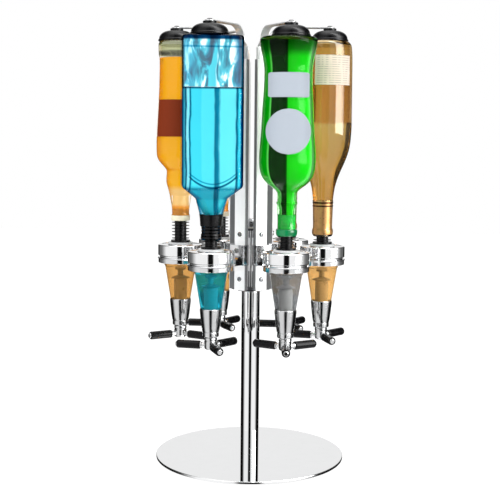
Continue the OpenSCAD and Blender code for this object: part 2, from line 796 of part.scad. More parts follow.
module bottle(i) {
    form = load_form[i - 1];
    h = bottle_h[i - 1];
    tint = form == "square" ? "#3fb8dc" : form == "waist" ? "#1fb34a" : form == "wine" ? "#a98a4e" : "#d99a3c";
    color(tint, 0.7) at_tap(i) translate([0, 0, mouth_z[i - 1]]) rotate([0, 0, bottle_turn[i - 1]]) {
        if (form == "square") square_bottle();
        if (form == "waist") round_bottle(waist_side(h), h);
        if (form == "wine") round_bottle(wine_side(h), h);
        if (form == "slim") round_bottle(slim_side(h), h);
    }
}

base_pad();
base_plate();
base_screw();
lower_post();
foot_plug();
bearing_plug();
spindle();
thrust_washer();
hub_bushes();
hub_lower_plate();
hub_upper_plate();
hub_sleeve();
top_washer();
top_nut();
rails();
rail_screws();
holder_brackets();
bracket_screws();
tap_collars();
tap_caps();
stoppers();
measure_chambers();
valve_tubes();
spout_cones();
for (i = [1:stations]) {
    plunger(i);
    lever_sleeves(i);
    return_spring(i);
    clamp_arm(i);
    clamp_cup(i);
    bottle(i);
}
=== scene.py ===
import json
import math
import bmesh
import bpy
from mathutils import Matrix, Vector


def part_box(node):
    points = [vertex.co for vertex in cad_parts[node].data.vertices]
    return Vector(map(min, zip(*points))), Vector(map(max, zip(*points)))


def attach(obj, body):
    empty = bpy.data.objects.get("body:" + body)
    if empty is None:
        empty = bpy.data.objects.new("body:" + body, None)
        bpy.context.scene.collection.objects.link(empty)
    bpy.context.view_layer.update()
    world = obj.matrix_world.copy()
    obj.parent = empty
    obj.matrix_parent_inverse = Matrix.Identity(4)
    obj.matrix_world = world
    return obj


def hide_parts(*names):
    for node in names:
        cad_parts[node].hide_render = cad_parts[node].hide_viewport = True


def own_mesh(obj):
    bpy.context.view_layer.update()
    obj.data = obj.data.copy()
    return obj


# Rotary dispenser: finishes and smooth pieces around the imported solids. Metres, degrees where named so.
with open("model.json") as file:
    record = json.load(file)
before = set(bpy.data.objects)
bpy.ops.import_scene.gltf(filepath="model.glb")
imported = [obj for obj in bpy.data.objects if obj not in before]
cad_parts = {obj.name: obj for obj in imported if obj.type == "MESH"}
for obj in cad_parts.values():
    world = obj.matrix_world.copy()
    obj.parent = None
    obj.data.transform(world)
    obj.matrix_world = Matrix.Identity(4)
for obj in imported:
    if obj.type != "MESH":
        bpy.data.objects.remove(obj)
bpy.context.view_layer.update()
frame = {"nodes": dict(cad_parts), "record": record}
mm = 0.001
weldGap = 2e-6
stationNumbers = range(1, 7)
carousel = "carousel"
print("frame loaded,", len(frame["nodes"]), "nodes")


# places and directions, read from the frame
def middleOf(node):
    low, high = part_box(node)
    return (low + high) / 2


def floorPoint(point):
    return Vector((point.x, point.y, 0))


tapPlace = {i: floorPoint(middleOf(f"bottle_{i}")) for i in stationNumbers}
cupPlace = {i: floorPoint(middleOf(f"clamp_cup_{i}")) for i in stationNumbers}
heading = {i: math.atan2(tapPlace[i].y, tapPlace[i].x) for i in stationNumbers}
tapHeadings = [(tapPlace[i], heading[i]) for i in stationNumbers]
axisPlace = Vector((0, 0, 0))


def leverHeading(i):  # direction of the first of three levers, from the sleeves' own points
    points = [v.co - tapPlace[i] for v in frame["nodes"][f"lever_sleeves_{i}"].data.vertices]
    angles = [3 * math.atan2(p.y, p.x) for p in points]
    return math.atan2(sum(math.sin(a) for a in angles), sum(math.cos(a) for a in angles)) / 3


# camera
cameraSet = dict(lens=75.995, turn=2.284, tilt=6.171, roll=0.5167, side=-0.00182, back=1.6656, height=0.51425)


def placeCamera(s):
    turn = Matrix.Rotation(math.radians(s["turn"]), 4, "Z")
    tilt = Matrix.Rotation(math.radians(90 - s["tilt"]), 4, "X")
    roll = Matrix.Rotation(math.radians(s["roll"]), 4, "Z")
    data = bpy.data.cameras.new("photoCamera")
    data.sensor_width = 36
    data.lens = s["lens"]
    data.clip_start = 0.05
    camera = bpy.data.objects.new("photoCamera", data)
    camera.matrix_world = turn @ Matrix.Translation((s["side"], -s["back"], s["height"])) @ tilt @ roll
    bpy.context.scene.collection.objects.link(camera)
    bpy.context.scene.camera = camera
    return Vector((math.sin(math.radians(s["turn"])), -math.cos(math.radians(s["turn"])), 0))


towardCamera = placeCamera(cameraSet)
besideCamera = Vector((-towardCamera.y, towardCamera.x, 0))
print("camera placed")


# node helpers for materials
def newMaterial(name):
    material = bpy.data.materials.new(name)
    material.use_nodes = True
    return material, material.node_tree, material.node_tree.nodes["Principled BSDF"]


def addNode(tree, kind, inputs=None, **settings):
    node = tree.nodes.new("ShaderNode" + kind)
    for key, value in settings.items():
        setattr(node, key, value)
    for key, value in (inputs or {}).items():
        if isinstance(value, bpy.types.NodeSocket):
            tree.links.new(value, node.inputs[key])
        else:
            node.inputs[key].default_value = value
    return node


def place(tree, stretch=(1, 1, 1)):  # the piece's own coordinates in metres, stretched along its grain
    own = addNode(tree, "TexCoord").outputs["Object"]
    return addNode(tree, "Mapping", {"Vector": own, "Scale": stretch}).outputs["Vector"]


def noise(tree, scale, detail=3, stretch=(1, 1, 1), distortion=0.0):
    where = {"Vector": place(tree, stretch), "Scale": scale, "Detail": detail, "Distortion": distortion}
    return addNode(tree, "TexNoise", where).outputs["Fac"]


def ramp(tree, source, stops, smooth=False):
    node = addNode(tree, "ValToRGB", {"Fac": source})
    band = node.color_ramp
    band.interpolation = "EASE" if smooth else "LINEAR"
    while len(band.elements) < len(stops):
        band.elements.new(0.5)
    for element, (position, color) in zip(band.elements, stops):
        element.position = position
        element.color = (*color, 1) if len(color) == 3 else color
    return node.outputs["Color"]


def spread(tree, source, low, high, fromLow=0.0, fromHigh=1.0):
    limits = {"Value": source, "From Min": fromLow, "From Max": fromHigh, "To Min": low, "To Max": high}
    return addNode(tree, "MapRange", limits).outputs["Result"]


def blendColors(tree, amount, first, second, mode="MIX"):
    node = addNode(tree, "Mix", data_type="RGBA", blend_type=mode)
    for socket, value in ((0, amount), (6, first), (7, second)):
        if isinstance(value, bpy.types.NodeSocket):
            tree.links.new(value, node.inputs[socket])
        else:
            node.inputs[socket].default_value = (*value, 1) if isinstance(value, tuple) else value
    return node.outputs[2]


def math2(tree, operation, first, second=0.0):
    node = addNode(tree, "Math", {0: first, 1: second}, operation=operation)
    return node.outputs[0]


def screen(red, green, blue):  # a screen colour from 0 to 255 as linear light
    return tuple(((c / 255 + 0.055) / 1.055) ** 2.4 for c in (red, green, blue))


def reachAlong(tree, centre, direction):  # metres from the centre along a direction, on the piece itself
    own = addNode(tree, "TexCoord").outputs["Object"]
    point = addNode(tree, "VectorMath", {0: own, 1: tuple(centre)}, operation="SUBTRACT").outputs[0]
    return addNode(tree, "VectorMath", {0: point, 1: tuple(direction)},
                   operation="DOT_PRODUCT").outputs["Value"]


def bandsAround(tree, centre, stops):  # colours by the angle about an upright axis, 0 towards the front
    ahead = reachAlong(tree, centre, towardCamera)
    beside = reachAlong(tree, centre, besideCamera)
    angle = addNode(tree, "Math", {0: beside, 1: ahead}, operation="ARCTAN2").outputs[0]
    share = spread(tree, angle, 0, 1, -math.pi, math.pi)
    return ramp(tree, share, [((a + 180) / 360, screen(*c)) for a, c in stops])


def bandsAlong(tree, centre, direction, stops, stray=0):  # colours by the distance along a direction, in mm
    first, last = stops[0][0], stops[-1][0]
    reach = reachAlong(tree, centre, direction)
    if stray:  # the bands wander a little
        drift = spread(tree, noise(tree, 45, 4, (1, 1, 0.5), 0.6), -stray * mm, stray * mm, 0.25, 0.75)
        reach = math2(tree, "ADD", reach, drift)
    share = spread(tree, reach, 0, 1, first * mm, last * mm)
    return ramp(tree, share, [((a - first) / (last - first), screen(*c)) for a, c in stops])


def bump(tree, shader, height, distance, strength=1.0):
    values = {"Height": height, "Distance": distance, "Strength": strength}
    tree.links.new(addNode(tree, "Bump", values).outputs["Normal"], shader.inputs["Normal"])


# finishes
def metalFinish(name, s):
    # plated or bare metal: smudged roughness, faint grain along one direction
    material, tree, shader = newMaterial(name)
    shader.inputs["Metallic"].default_value = s.get("metallic", 1)
    tone = noise(tree, s.get("toneScale", 60), 4)
    dark = tuple(c * s.get("toneDrop", 0.94) for c in s["color"])
    color = ramp(tree, tone, [(0.3, dark), (0.7, s["color"])])
    if s.get("flankShade"):  # the rails' side walls, whose normals lie between the six headings, are darker: painted shade
        normal = addNode(tree, "SeparateXYZ", {"Vector": addNode(tree, "TexCoord").outputs["Normal"]})
        angle = addNode(tree, "Math", {0: normal.outputs["Y"], 1: normal.outputs["X"]},
                        operation="ARCTAN2").outputs[0]
        sixfold = addNode(tree, "Math", {0: math2(tree, "MULTIPLY", angle, 6.0)},
                          operation="COSINE").outputs[0]
        color = blendColors(tree, spread(tree, sixfold, 0, 1, -0.4, 0.2), s["flankShade"], color)
    tree.links.new(color, shader.inputs["Base Color"])
    # painted light: the colour is also given off as emission, so the rails read brighter than the lamps make
    # them
    if s.get("glow"):
        tree.links.new(color, shader.inputs["Emission Color"])
        shader.inputs["Emission Strength"].default_value = s["glow"]
    grain = noise(tree, s.get("grainScale", 400), 6, s.get("grain", (1, 1, 1)))
    rough = spread(tree, grain, s["rough"][0], s["rough"][1], 0.25, 0.75)
    tree.links.new(rough, shader.inputs["Roughness"])
    if s.get("bump"):
        bump(tree, shader, grain, s["bump"], s.get("bumpStrength", 0.3))
    return material


def plasticFinish(name, s):
    # moulded plastic and rubber: slight mottling, fine skin
    material, tree, shader = newMaterial(name)
    tone = noise(tree, s.get("toneScale", 90), 4)
    light = tuple(min(1, c * s.get("toneLift", 1.3) + s.get("toneAdd", 0.002)) for c in s["color"])
    tree.links.new(ramp(tree, tone, [(0.3, s["color"]), (0.75, light)]), shader.inputs["Base Color"])
    skin = noise(tree, s.get("skinScale", 1800), 3)
    tree.links.new(spread(tree, tone, s["rough"][0], s["rough"][1], 0.3, 0.7), shader.inputs["Roughness"])
    bump(tree, shader, skin, s.get("skinDepth", 0.00004), s.get("skinStrength", 0.35))
    shader.inputs["Specular IOR Level"].default_value = s.get("specular", 0.5)
    shader.inputs["Coat Weight"].default_value = s.get("coat", 0.0)
    shader.inputs["Coat Roughness"].default_value = 0.15
    shader.inputs["Transmission Weight"].default_value = s.get("through", 0.0)
    return material


def glassFinish(name, s, centre=None, across=None):
    # clear or tinted glass: the tint deepens towards the rim, with a slow waviness from moulding
    material, tree, shader = newMaterial(name)
    shader.inputs["Transmission Weight"].default_value = 1
    shader.inputs["IOR"].default_value = s.get("ior", 1.5)
    shader.inputs["Roughness"].default_value = s.get("rough", 0.0)
    shader.inputs["Specular IOR Level"].default_value = s.get("specular", 0.5)
    facing = addNode(tree, "LayerWeight", {"Blend": s.get("blend", 0.5)}).outputs["Facing"]
    tint = ramp(tree, facing, s["tint"])
    streaks = noise(tree, s.get("streakScale", 30), 3, (1, 1, 0.25))
    shade = ramp(tree, streaks, [(0.35, (s.get("streak", 0.94),) * 3), (0.65, (1, 1, 1))])
    tone = blendColors(tree, 1.0, tint, shade, "MULTIPLY")
    if s.get("paintedVeil"):  # the empty part above the drink: painted reflections and highlights of light caught in the walls, in upright streaks
        paintedVeil = s["paintedVeil"]
        height = reachAlong(tree, axisPlace, (0, 0, 1))
        share = spread(tree, height, 0, paintedVeil["share"], paintedVeil["level"], paintedVeil["level"] + 0.001)
        paintedGlints = ramp(tree, noise(tree, paintedVeil["scale"], 3, (1, 1, 0.3), 1.0), paintedVeil["tones"])
        paintedGlints = blendColors(tree, 1.0, paintedGlints,
                             bandsAlong(tree, centre, across, paintedVeil["across"], paintedVeil["stray"]), "MULTIPLY")
        edge = spread(tree, facing, 1, 0, 0.15, 0.4)
        share = math2(tree, "MULTIPLY", share, edge)
        tone = blendColors(tree, share, tone, paintedGlints)
        tree.links.new(math2(tree, "SUBTRACT", 1.0, share), shader.inputs["Transmission Weight"])
    if s.get("heights"):
        tone = blendColors(tree, 1.0, tone, bandsAlong(tree, axisPlace, (0, 0, 1), s["heights"]), "MULTIPLY")
    if s.get("across"):
        tone = blendColors(tree, 1.0, tone, bandsAlong(tree, centre, across, s["across"]), "MULTIPLY")
    tree.links.new(tone, shader.inputs["Base Color"])
    wave = noise(tree, s.get("waveScale", 55), 2, (1, 1, 0.35))
    bump(tree, shader, wave, s.get("wave", 0.0006), 0.12)
    return material


def liquidFinish(name, s, centre, across=None):
    # a drink: its own colour with slow clouds, and how much of it scatters instead of letting light through
    material, tree, shader = newMaterial(name)
    shader.inputs["Transmission Weight"].default_value = 1 - s.get("cloudy", 0)
    shader.inputs["IOR"].default_value = s.get("ior", 1.34)
    shader.inputs["Roughness"].default_value = s.get("rough", 0.0)
    shader.inputs["Specular IOR Level"].default_value = s.get("specular", 0.5)
    cloud = noise(tree, 18, 2, (1, 1, 0.4))
    tone = ramp(tree, cloud, [(0.3, s["color"]), (0.7, s["light"])])
    # bands about the axis, here painted light and shade
    if s.get("around"):
        tone = blendColors(tree, 1.0, tone, bandsAround(tree, centre, s["around"]), "MULTIPLY")
    # bands across a face, here painted light and shade
    if s.get("across"):
        tone = blendColors(tree, 1.0, tone, bandsAlong(tree, centre, across, s["across"], s.get("stray", 0)),
                           "MULTIPLY")
    if s.get("heights"):
        tone = blendColors(tree, 1.0, tone, bandsAlong(tree, axisPlace, (0, 0, 1), s["heights"]), "MULTIPLY")
    if s.get("bow"):  # the panel's lower border, a line bowed towards the neck, drawn as dark lines: painted shade and refraction of the recess's edge
        bow = s["bow"]
        side = math2(tree, "DIVIDE", reachAlong(tree, centre, across), bow["half"])
        drop = math2(tree, "MULTIPLY", math2(tree, "MULTIPLY", side, side), bow["rise"])
        over = math2(tree, "SUBTRACT",
                     math2(tree, "SUBTRACT", reachAlong(tree, axisPlace, (0, 0, 1)), bow["low"]), drop)
        first, last = bow["tones"][0][0], bow["tones"][-1][0]
        stops = [((a - first) / (last - first), screen(*c)) for a, c in bow["tones"]]
        line = ramp(tree, spread(tree, over, 0, 1, first * mm, last * mm), stops)
        inside = spread(tree, math2(tree, "ABSOLUTE", side), 1, 0, 0.97, 1.03)
        tone = blendColors(tree, inside, tone, blendColors(tree, 1.0, tone, line, "MULTIPLY"))
    tree.links.new(tone, shader.inputs["Base Color"])
    # painted light: the drink's colour is also given off as emission, by its glow
    tree.links.new(tone, shader.inputs["Emission Color"])
    shader.inputs["Emission Strength"].default_value = s.get("glow", 0.0)
    return material


def paperFinish(name, s):
    # printed label: fibres, ruled lines of print and plain bands of colour by height
    material, tree, shader = newMaterial(name)
    fibre = noise(tree, 900, 5, (1, 1, 3))
    tone = ramp(tree, fibre, [(0.3, tuple(c * 0.93 for c in s["color"])), (0.7, s["color"])])
    if s.get("bands"):
        height = addNode(tree, "SeparateXYZ", {"Vector": place(tree)}).outputs["Z"]
        share = spread(tree, height, 0, 1, s["low"], s["high"])
        tone = blendColors(tree, 1.0, tone, ramp(tree, share, s["bands"]), "MULTIPLY")
    if s.get("rules"):
        wave = addNode(tree, "TexWave", {"Vector": place(tree), "Scale": s["rules"], "Distortion": 0.0},
                       bands_direction="Z").outputs["Fac"]
        broken = noise(tree, 260, 1, (1, 1, 0.1))
        ink = math2(tree, "MULTIPLY", spread(tree, wave, 0, 1, 0.72, 0.86),
                    spread(tree, broken, 0, 1, 0.4, 0.5))
        tone = blendColors(tree, math2(tree, "MULTIPLY", ink, 0.6), tone, (0.28, 0.24, 0.2))
    tree.links.new(tone, shader.inputs["Base Color"])
    tree.links.new(spread(tree, fibre, 0.4, 0.6), shader.inputs["Roughness"])
    shader.inputs["Specular IOR Level"].default_value = 0.15
    bump(tree, shader, fibre, 0.00003, 0.2)
    return material


alongZ = (1, 1, 0.03)
aroundZ = (0.02, 0.02, 1)
metals = {
    "mirror_steel": dict(color=(0.93, 0.935, 0.94), rough=(0.012, 0.03), grainScale=40, toneDrop=0.985),
    "fastener_steel": dict(color=(0.66, 0.67, 0.69), rough=(0.16, 0.3), grainScale=900),
    "chrome_tube": dict(color=(0.9, 0.905, 0.91), rough=(0.015, 0.04), grainScale=50, toneDrop=0.98),
    "turned_steel": dict(color=(0.62, 0.63, 0.64), rough=(0.2, 0.34), grain=aroundZ, grainScale=3000,
                         bump=0.00002),
    "dark_metal": dict(color=(0.12, 0.12, 0.13), rough=(0.25, 0.4), grainScale=700),
    # painted shade and light on the rails: flankShade darkens the side walls, glow adds emission
    "satin_aluminium": dict(color=(0.97, 0.972, 0.975), rough=(0.3, 0.42), grain=alongZ, grainScale=2500,
                            bump=0.00003, bumpStrength=0.25, metallic=0.1,
                            flankShade=(0.16, 0.162, 0.165), glow=0.27),
    "satin_chrome": dict(color=(0.66, 0.665, 0.67), rough=(0.13, 0.19), grain=aroundZ, grainScale=1800),
    "cast_chrome": dict(color=(0.72, 0.725, 0.735), rough=(0.06, 0.14), grainScale=500, bump=0.00005),
    "plated_chrome": dict(color=(0.88, 0.885, 0.89), rough=(0.05, 0.09), grainScale=70, toneDrop=0.97),
    "spring_wire": dict(color=(0.6, 0.6, 0.61), rough=(0.22, 0.36), grainScale=1500),
    "strip_steel": dict(color=(0.7, 0.705, 0.71), rough=(0.3, 0.4), grainScale=300, metallic=0.4),
    "rivet_steel": dict(color=(0.05, 0.05, 0.052), rough=(0.25, 0.35), grainScale=900, metallic=0.5),
    "screw_steel": dict(color=(0.34, 0.345, 0.35), rough=(0.2, 0.3), grainScale=900),
}
plastics = {
    "pad_rubber": dict(color=(0.02, 0.02, 0.021), rough=(0.7, 0.85), skinScale=1200, skinDepth=0.00015),
    "bush_nylon": dict(color=(0.74, 0.71, 0.62), rough=(0.4, 0.5), toneLift=1.06),
    "pale_cap": dict(color=(0.55, 0.555, 0.56), rough=(0.22, 0.32), toneLift=1.05, specular=0.3),
    "black_rubber": dict(color=(0.003, 0.003, 0.0035), rough=(0.22, 0.32), specular=0.22, toneAdd=0.001),
    "valve_plastic": dict(color=(0.34, 0.33, 0.31), rough=(0.25, 0.35), toneLift=1.1, through=0.2),
    "black_grip": dict(color=(0.003, 0.003, 0.0035), rough=(0.22, 0.3), skinScale=1400, specular=0.16,
                       toneAdd=0.001),
    "valve_stem": dict(color=(0.17, 0.165, 0.155), rough=(0.25, 0.35), toneLift=1.1),
}
finishes = {name: metalFinish(name, s) for name, s in metals.items()}
finishes.update({name: plasticFinish(name, s) for name, s in plastics.items()})
print("finishes made")


# reading and turning outlines
def sectionOf(node, centre, direction, reach=0.06):
    # (radius, height) points where the half plane from the axis cuts a turned solid
    cut = bmesh.new()
    cut.from_mesh(frame["nodes"][node].data)
    bmesh.ops.remove_doubles(cut, verts=cut.verts, dist=weldGap)
    across = Vector((math.cos(direction), math.sin(direction), 0))
    made = bmesh.ops.bisect_plane(cut, geom=cut.verts[:] + cut.edges[:] + cut.faces[:], dist=weldGap,
                                  plane_co=centre, plane_no=Vector((-across.y, across.x, 0)))
    points, links = {}, {}
    for edge in made["geom_cut"]:
        if not isinstance(edge, bmesh.types.BMEdge):
            continue
        ends = sorted(edge.verts, key=lambda v: (v.co - centre).dot(across))
        radii = [(v.co - centre).dot(across) for v in ends]
        if radii[1] < weldGap or radii[1] > reach:
            continue
        keys = list(ends)
        points[ends[1]] = (radii[1], ends[1].co.z)
        if radii[0] < -weldGap:  # the edge runs over the axis
            keys[0] = edge
            share = -radii[0] / (radii[1] - radii[0])
            points[edge] = (0.0, ends[0].co.z + share * (ends[1].co.z - ends[0].co.z))
        else:
            points[ends[0]] = (max(radii[0], 0.0), ends[0].co.z)
        links.setdefault(keys[0], set()).add(keys[1])
        links.setdefault(keys[1], set()).add(keys[0])
    outline = longestChain(points, links)
    cut.free()
    return outline


def longestChain(points, links):
    left, best = set(points), []
    while left:
        ends = [k for k in left if len(links[k]) == 1]
        start = ends[0] if ends else min(left, key=lambda k: points[k])
        chain, here = [start], start
        left.discard(start)
        while True:
            onward = [k for k in links[here] if k in left]
            if not onward:
                break
            here = onward[0]
            left.discard(here)
            chain.append(here)
        if len(chain) > len(best):
            best = chain
    outline = [points[k] for k in best]
    closed = outline[0][0] > weldGap or outline[-1][0] > weldGap
    if closed:
        area = sum(a[0] * b[1] - b[0] * a[1] for a, b in zip(outline, outline[1:] + outline[:1]))
        outline = outline if area > 0 else outline[::-1]
    elif outline[0][1] < outline[-1][1]:
        outline = outline[::-1]
    return straightened(outline, closed), closed


def turnAt(a, b, c):
    first = Vector((b[0] - a[0], b[1] - a[1]))
    second = Vector((c[0] - b[0], c[1] - b[1]))
    if first.length < 1e-7 or second.length < 1e-7:
        return 0.0
    return first.angle(second)


def straightened(outline, closed):  # drops points that lie on a straight line
    kept = [p for k, p in enumerate(outline) if k == 0 or math.dist(p, outline[k - 1]) > 5e-6]
    last = len(kept) - 1
    result = []
    for k, point in enumerate(kept):
        if not closed and k in (0, last):
            result.append(point)
        elif turnAt(kept[k - 1], point, kept[(k + 1) % len(kept)]) > math.radians(0.4):
            result.append(point)
    return result


def eased(outline, closed, radius, limit=24):  # rounds each sharp corner, so that edges catch light
    result = []
    for k, point in enumerate(outline):
        if not closed and k in (0, len(outline) - 1):
            result.append(point)
            continue
        before, after = outline[k - 1], outline[(k + 1) % len(outline)]
        turn = turnAt(before, point, after)
        if turn < math.radians(limit):
            result.append(point)
            continue
        cut = min(radius * math.tan(min(turn, 2.6) / 2), 0.4 * math.dist(before, point),
                  0.4 * math.dist(point, after))
        start = toward(point, before, cut)
        end = toward(point, after, cut)
        for t in (0, 0.3, 0.7, 1):
            result.append(tuple((1 - t) ** 2 * s + 2 * t * (1 - t) * p + t * t * e
                                for s, p, e in zip(start, point, end)))
    return result


def braced(outline, closed):  # keeps long straight runs flat where the short steps of a curve begin
    result, count = [], len(outline)
    for k, point in enumerate(outline):
        result.append(point)
        if not closed and k == count - 1:
            break
        onward = outline[(k + 1) % count]
        length = math.dist(point, onward)
        before = math.dist(outline[k - 1], point) if closed or k else length
        after = math.dist(onward, outline[(k + 2) % count]) if closed or k + 2 < count else length
        if length > 4 * before:
            result.append(toward(point, onward, min(before, length / 8)))
        if length > 4 * after:
            result.append(toward(onward, point, min(after, length / 8)))
    return result


def toward(point, other, length):
    share = length / max(math.dist(point, other), 1e-9)
    return tuple(p + (o - p) * share for p, o in zip(point, other))


def turnedParts(outline, closed, centre, segments, basis=None):
    # vertices and faces of a revolve about the centre's upright axis, or about the basis's own Z
    points, rows, faces = [], [], []
    for radius, height in braced(outline, closed):
        row = []
        for k in range(1 if radius < weldGap else segments):
            angle = 2 * math.pi * k / segments
            point = Vector((radius * math.cos(angle), radius * math.sin(angle), height))
            row.append(len(points))
            points.append(centre + (basis @ point if basis else point))
        rows.append(row)
    for first, second in zip(rows, rows[1:] + (rows[:1] if closed else [])):
        for k in range(segments):
            n = k + 1
            loop = [first[k % len(first)], first[n % len(first)], second[n % len(second)],
                    second[k % len(second)]]
            face = list(dict.fromkeys(loop))
            if len(face) > 2:
                faces.append(face)
    return points, faces


def joined(parts):
    points, faces = [], []
    for morePoints, moreFaces in parts:
        start = len(points)
        points += morePoints
        faces += [[index + start for index in face] for face in moreFaces]
    return points, faces


def makePiece(name, parts, finish, body, sharp=28, replaced=()):
    points, faces = joined(parts)
    mesh = bpy.data.meshes.new(name)
    mesh.from_pydata(points, [], faces)
    work = bmesh.new()
    work.from_mesh(mesh)
    bmesh.ops.recalc_face_normals(work, faces=work.faces)
    work.to_mesh(mesh)
    work.free()
    mesh.polygons.foreach_set("use_smooth", [True] * len(mesh.polygons))
    mesh.set_sharp_from_angle(angle=math.radians(sharp))
    mesh.materials.append(finish)
    piece = bpy.data.objects.new(name, mesh)
    bpy.context.scene.collection.objects.link(piece)
    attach(piece, body)
    if replaced:
        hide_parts(*replaced)
    return piece


def turnedCopy(node, centre, direction, segments, radius):
    outline, closed = sectionOf(node, centre, direction)
    return turnedParts(eased(outline, closed, radius), closed, centre, segments)


# pieces turned about the post
postPieces = {
    "base_plate": dict(name="mirrorPlate", slot="mirror_steel", segments=256, radius=0.0004),
    "base_pad": dict(name="footPad", slot="pad_rubber", segments=128, radius=0.0003),
    "lower_post": dict(name="postTube", slot="chrome_tube", segments=128, radius=0.0003),
    "thrust_washer": dict(name="thrustRing", slot="turned_steel", segments=64, radius=0.0001),
    "spindle": dict(name="fixedSpindle", slot="turned_steel", segments=64, radius=0.0002),
    "hub_sleeve": dict(name="hubTube", slot="chrome_tube", segments=96, radius=0.0003),
}
bodyOf = {node: body for body, nodes in frame["record"]["behaviour"]["bodies"].items() for node in nodes}
postReach = 0.2  # past the plate's edge
for node, s in postPieces.items():
    outline, closed = sectionOf(node, axisPlace, 0.0, postReach)
    parts = [turnedParts(eased(outline, closed, s["radius"]), closed, axisPlace, s["segments"])]
    makePiece(s["name"], parts, finishes[s.get("finish", s["slot"])], bodyOf[node],
              replaced=[node])
print("post pieces made")

# fixed tap pieces, six of each
tapPieces = {
    "tap_collars": dict(name="tapCollars", slot="plated_chrome", segments=128, radius=0.0005),
    "tap_caps": dict(name="tapCaps", slot="pale_cap", segments=96, radius=0.0004),
    "stoppers": dict(name="ribbedStoppers", slot="black_rubber", segments=64, radius=0.0002),
    "valve_tubes": dict(name="valveTubes", slot="valve_plastic", segments=64, radius=0.0004),
    "spout_cones": dict(name="spoutCones", slot="plated_chrome", segments=96, radius=0.0003,
                        finish="satin_chrome"),
}
for node, s in tapPieces.items():
    parts = [turnedCopy(node, centre, angle, s["segments"], s["radius"]) for centre, angle in tapHeadings]
    makePiece(s["name"], parts, finishes[s.get("finish", s["slot"])], carousel, replaced=[node])
print("tap pieces made")

# measuring chambers and what is in them
chamberSet = dict(segments=96, radius=0.0003, overlap=0.00012, headspace=0.0012, footIn=0.0013)
chamberGlass = glassFinish("clear_chamber",
                           dict(ior=1.18, specular=0.9, blend=0.45, streak=0.98, wave=0.0002, tint=[
    (0.0, (0.97, 0.98, 0.98)), (0.55, (0.9, 0.92, 0.93)), (0.85, (0.5, 0.54, 0.56)),
    (1.0, (0.2, 0.22, 0.24))]))
cloudyMeasure = dict(ior=1.06, cloudy=0.2, specular=0.0, rough=0.02)
measures = {
    1: dict(cloudyMeasure, color=screen(22, 182, 208), light=screen(60, 212, 230)),
    2: dict(cloudyMeasure, color=screen(182, 183, 185), light=screen(205, 206, 207)),
    3: dict(cloudyMeasure, color=screen(245, 185, 105), light=screen(252, 200, 125)),
    4: dict(cloudyMeasure, color=screen(245, 185, 105), light=screen(252, 200, 125)),
    5: dict(cloudyMeasure, color=screen(240, 180, 100), light=screen(250, 195, 115)),
    6: dict(cloudyMeasure, color=screen(235, 170, 90), light=screen(245, 185, 105)),
}


def innerRadius(outline, z):  # the least radius at which a closed outline is crossed at a height
    found = [a[0] + (b[0] - a[0]) * (z - a[1]) / (b[1] - a[1])
             for a, b in zip(outline, outline[1:] + outline[:1])
             if (a[1] - z) * (b[1] - z) <= 0 and a[1] != b[1]]
    return min(found)


chamberParts = []
for i in stationNumbers:
    outline, closed = sectionOf("measure_chambers", tapPlace[i], heading[i])
    chamberParts.append(turnedParts(eased(outline, closed, chamberSet["radius"]), closed, tapPlace[i],
                                    chamberSet["segments"]))
    low = min(p[1] for p in outline)
    high = max(p[1] for p in outline)
    levels = [low + chamberSet["headspace"]] + sorted({z for _, z in outline
                                                       if low + 0.002 < z < high - 0.002})
    edge = [(innerRadius(outline, z) + chamberSet["overlap"],
             z) for z in levels + [high - chamberSet["headspace"]]]
    # open at its foot, inside the valve tube's wall, so that the plunger slides without cutting it
    drink = [(0.0, edge[-1][1])] + edge[::-1] + [(edge[0][0] - chamberSet["footIn"], edge[0][1])]
    makePiece(f"measureDrink_{i}", [turnedParts(drink, False, tapPlace[i], chamberSet["segments"])],
              liquidFinish(f"measureDrink_{i}", measures[i], tapPlace[i]), carousel)
makePiece("measureChambers", chamberParts, chamberGlass, carousel,
          replaced=["measure_chambers"])
print("chambers made")

# plungers, levers and their sleeves
leverSet = dict(rodSegments=32, shoulder=0.0012, capEdge=0.0004, sleeveSegments=40, sleeveRound=0.0016,
                split=0.2475,
                collarLen=0.0016, collarEnd=0.0022, rodFoot=0.0075, valveEdge=0.0004, sleeveEdge=0.0006)


def axisBasis(direction):  # turns a local Z into the level direction
    across = Vector((math.cos(direction), math.sin(direction), 0))
    side = Vector((-math.sin(direction), math.cos(direction), 0))
    return Matrix((side, Vector((0, 0, 1)), across)).transposed()


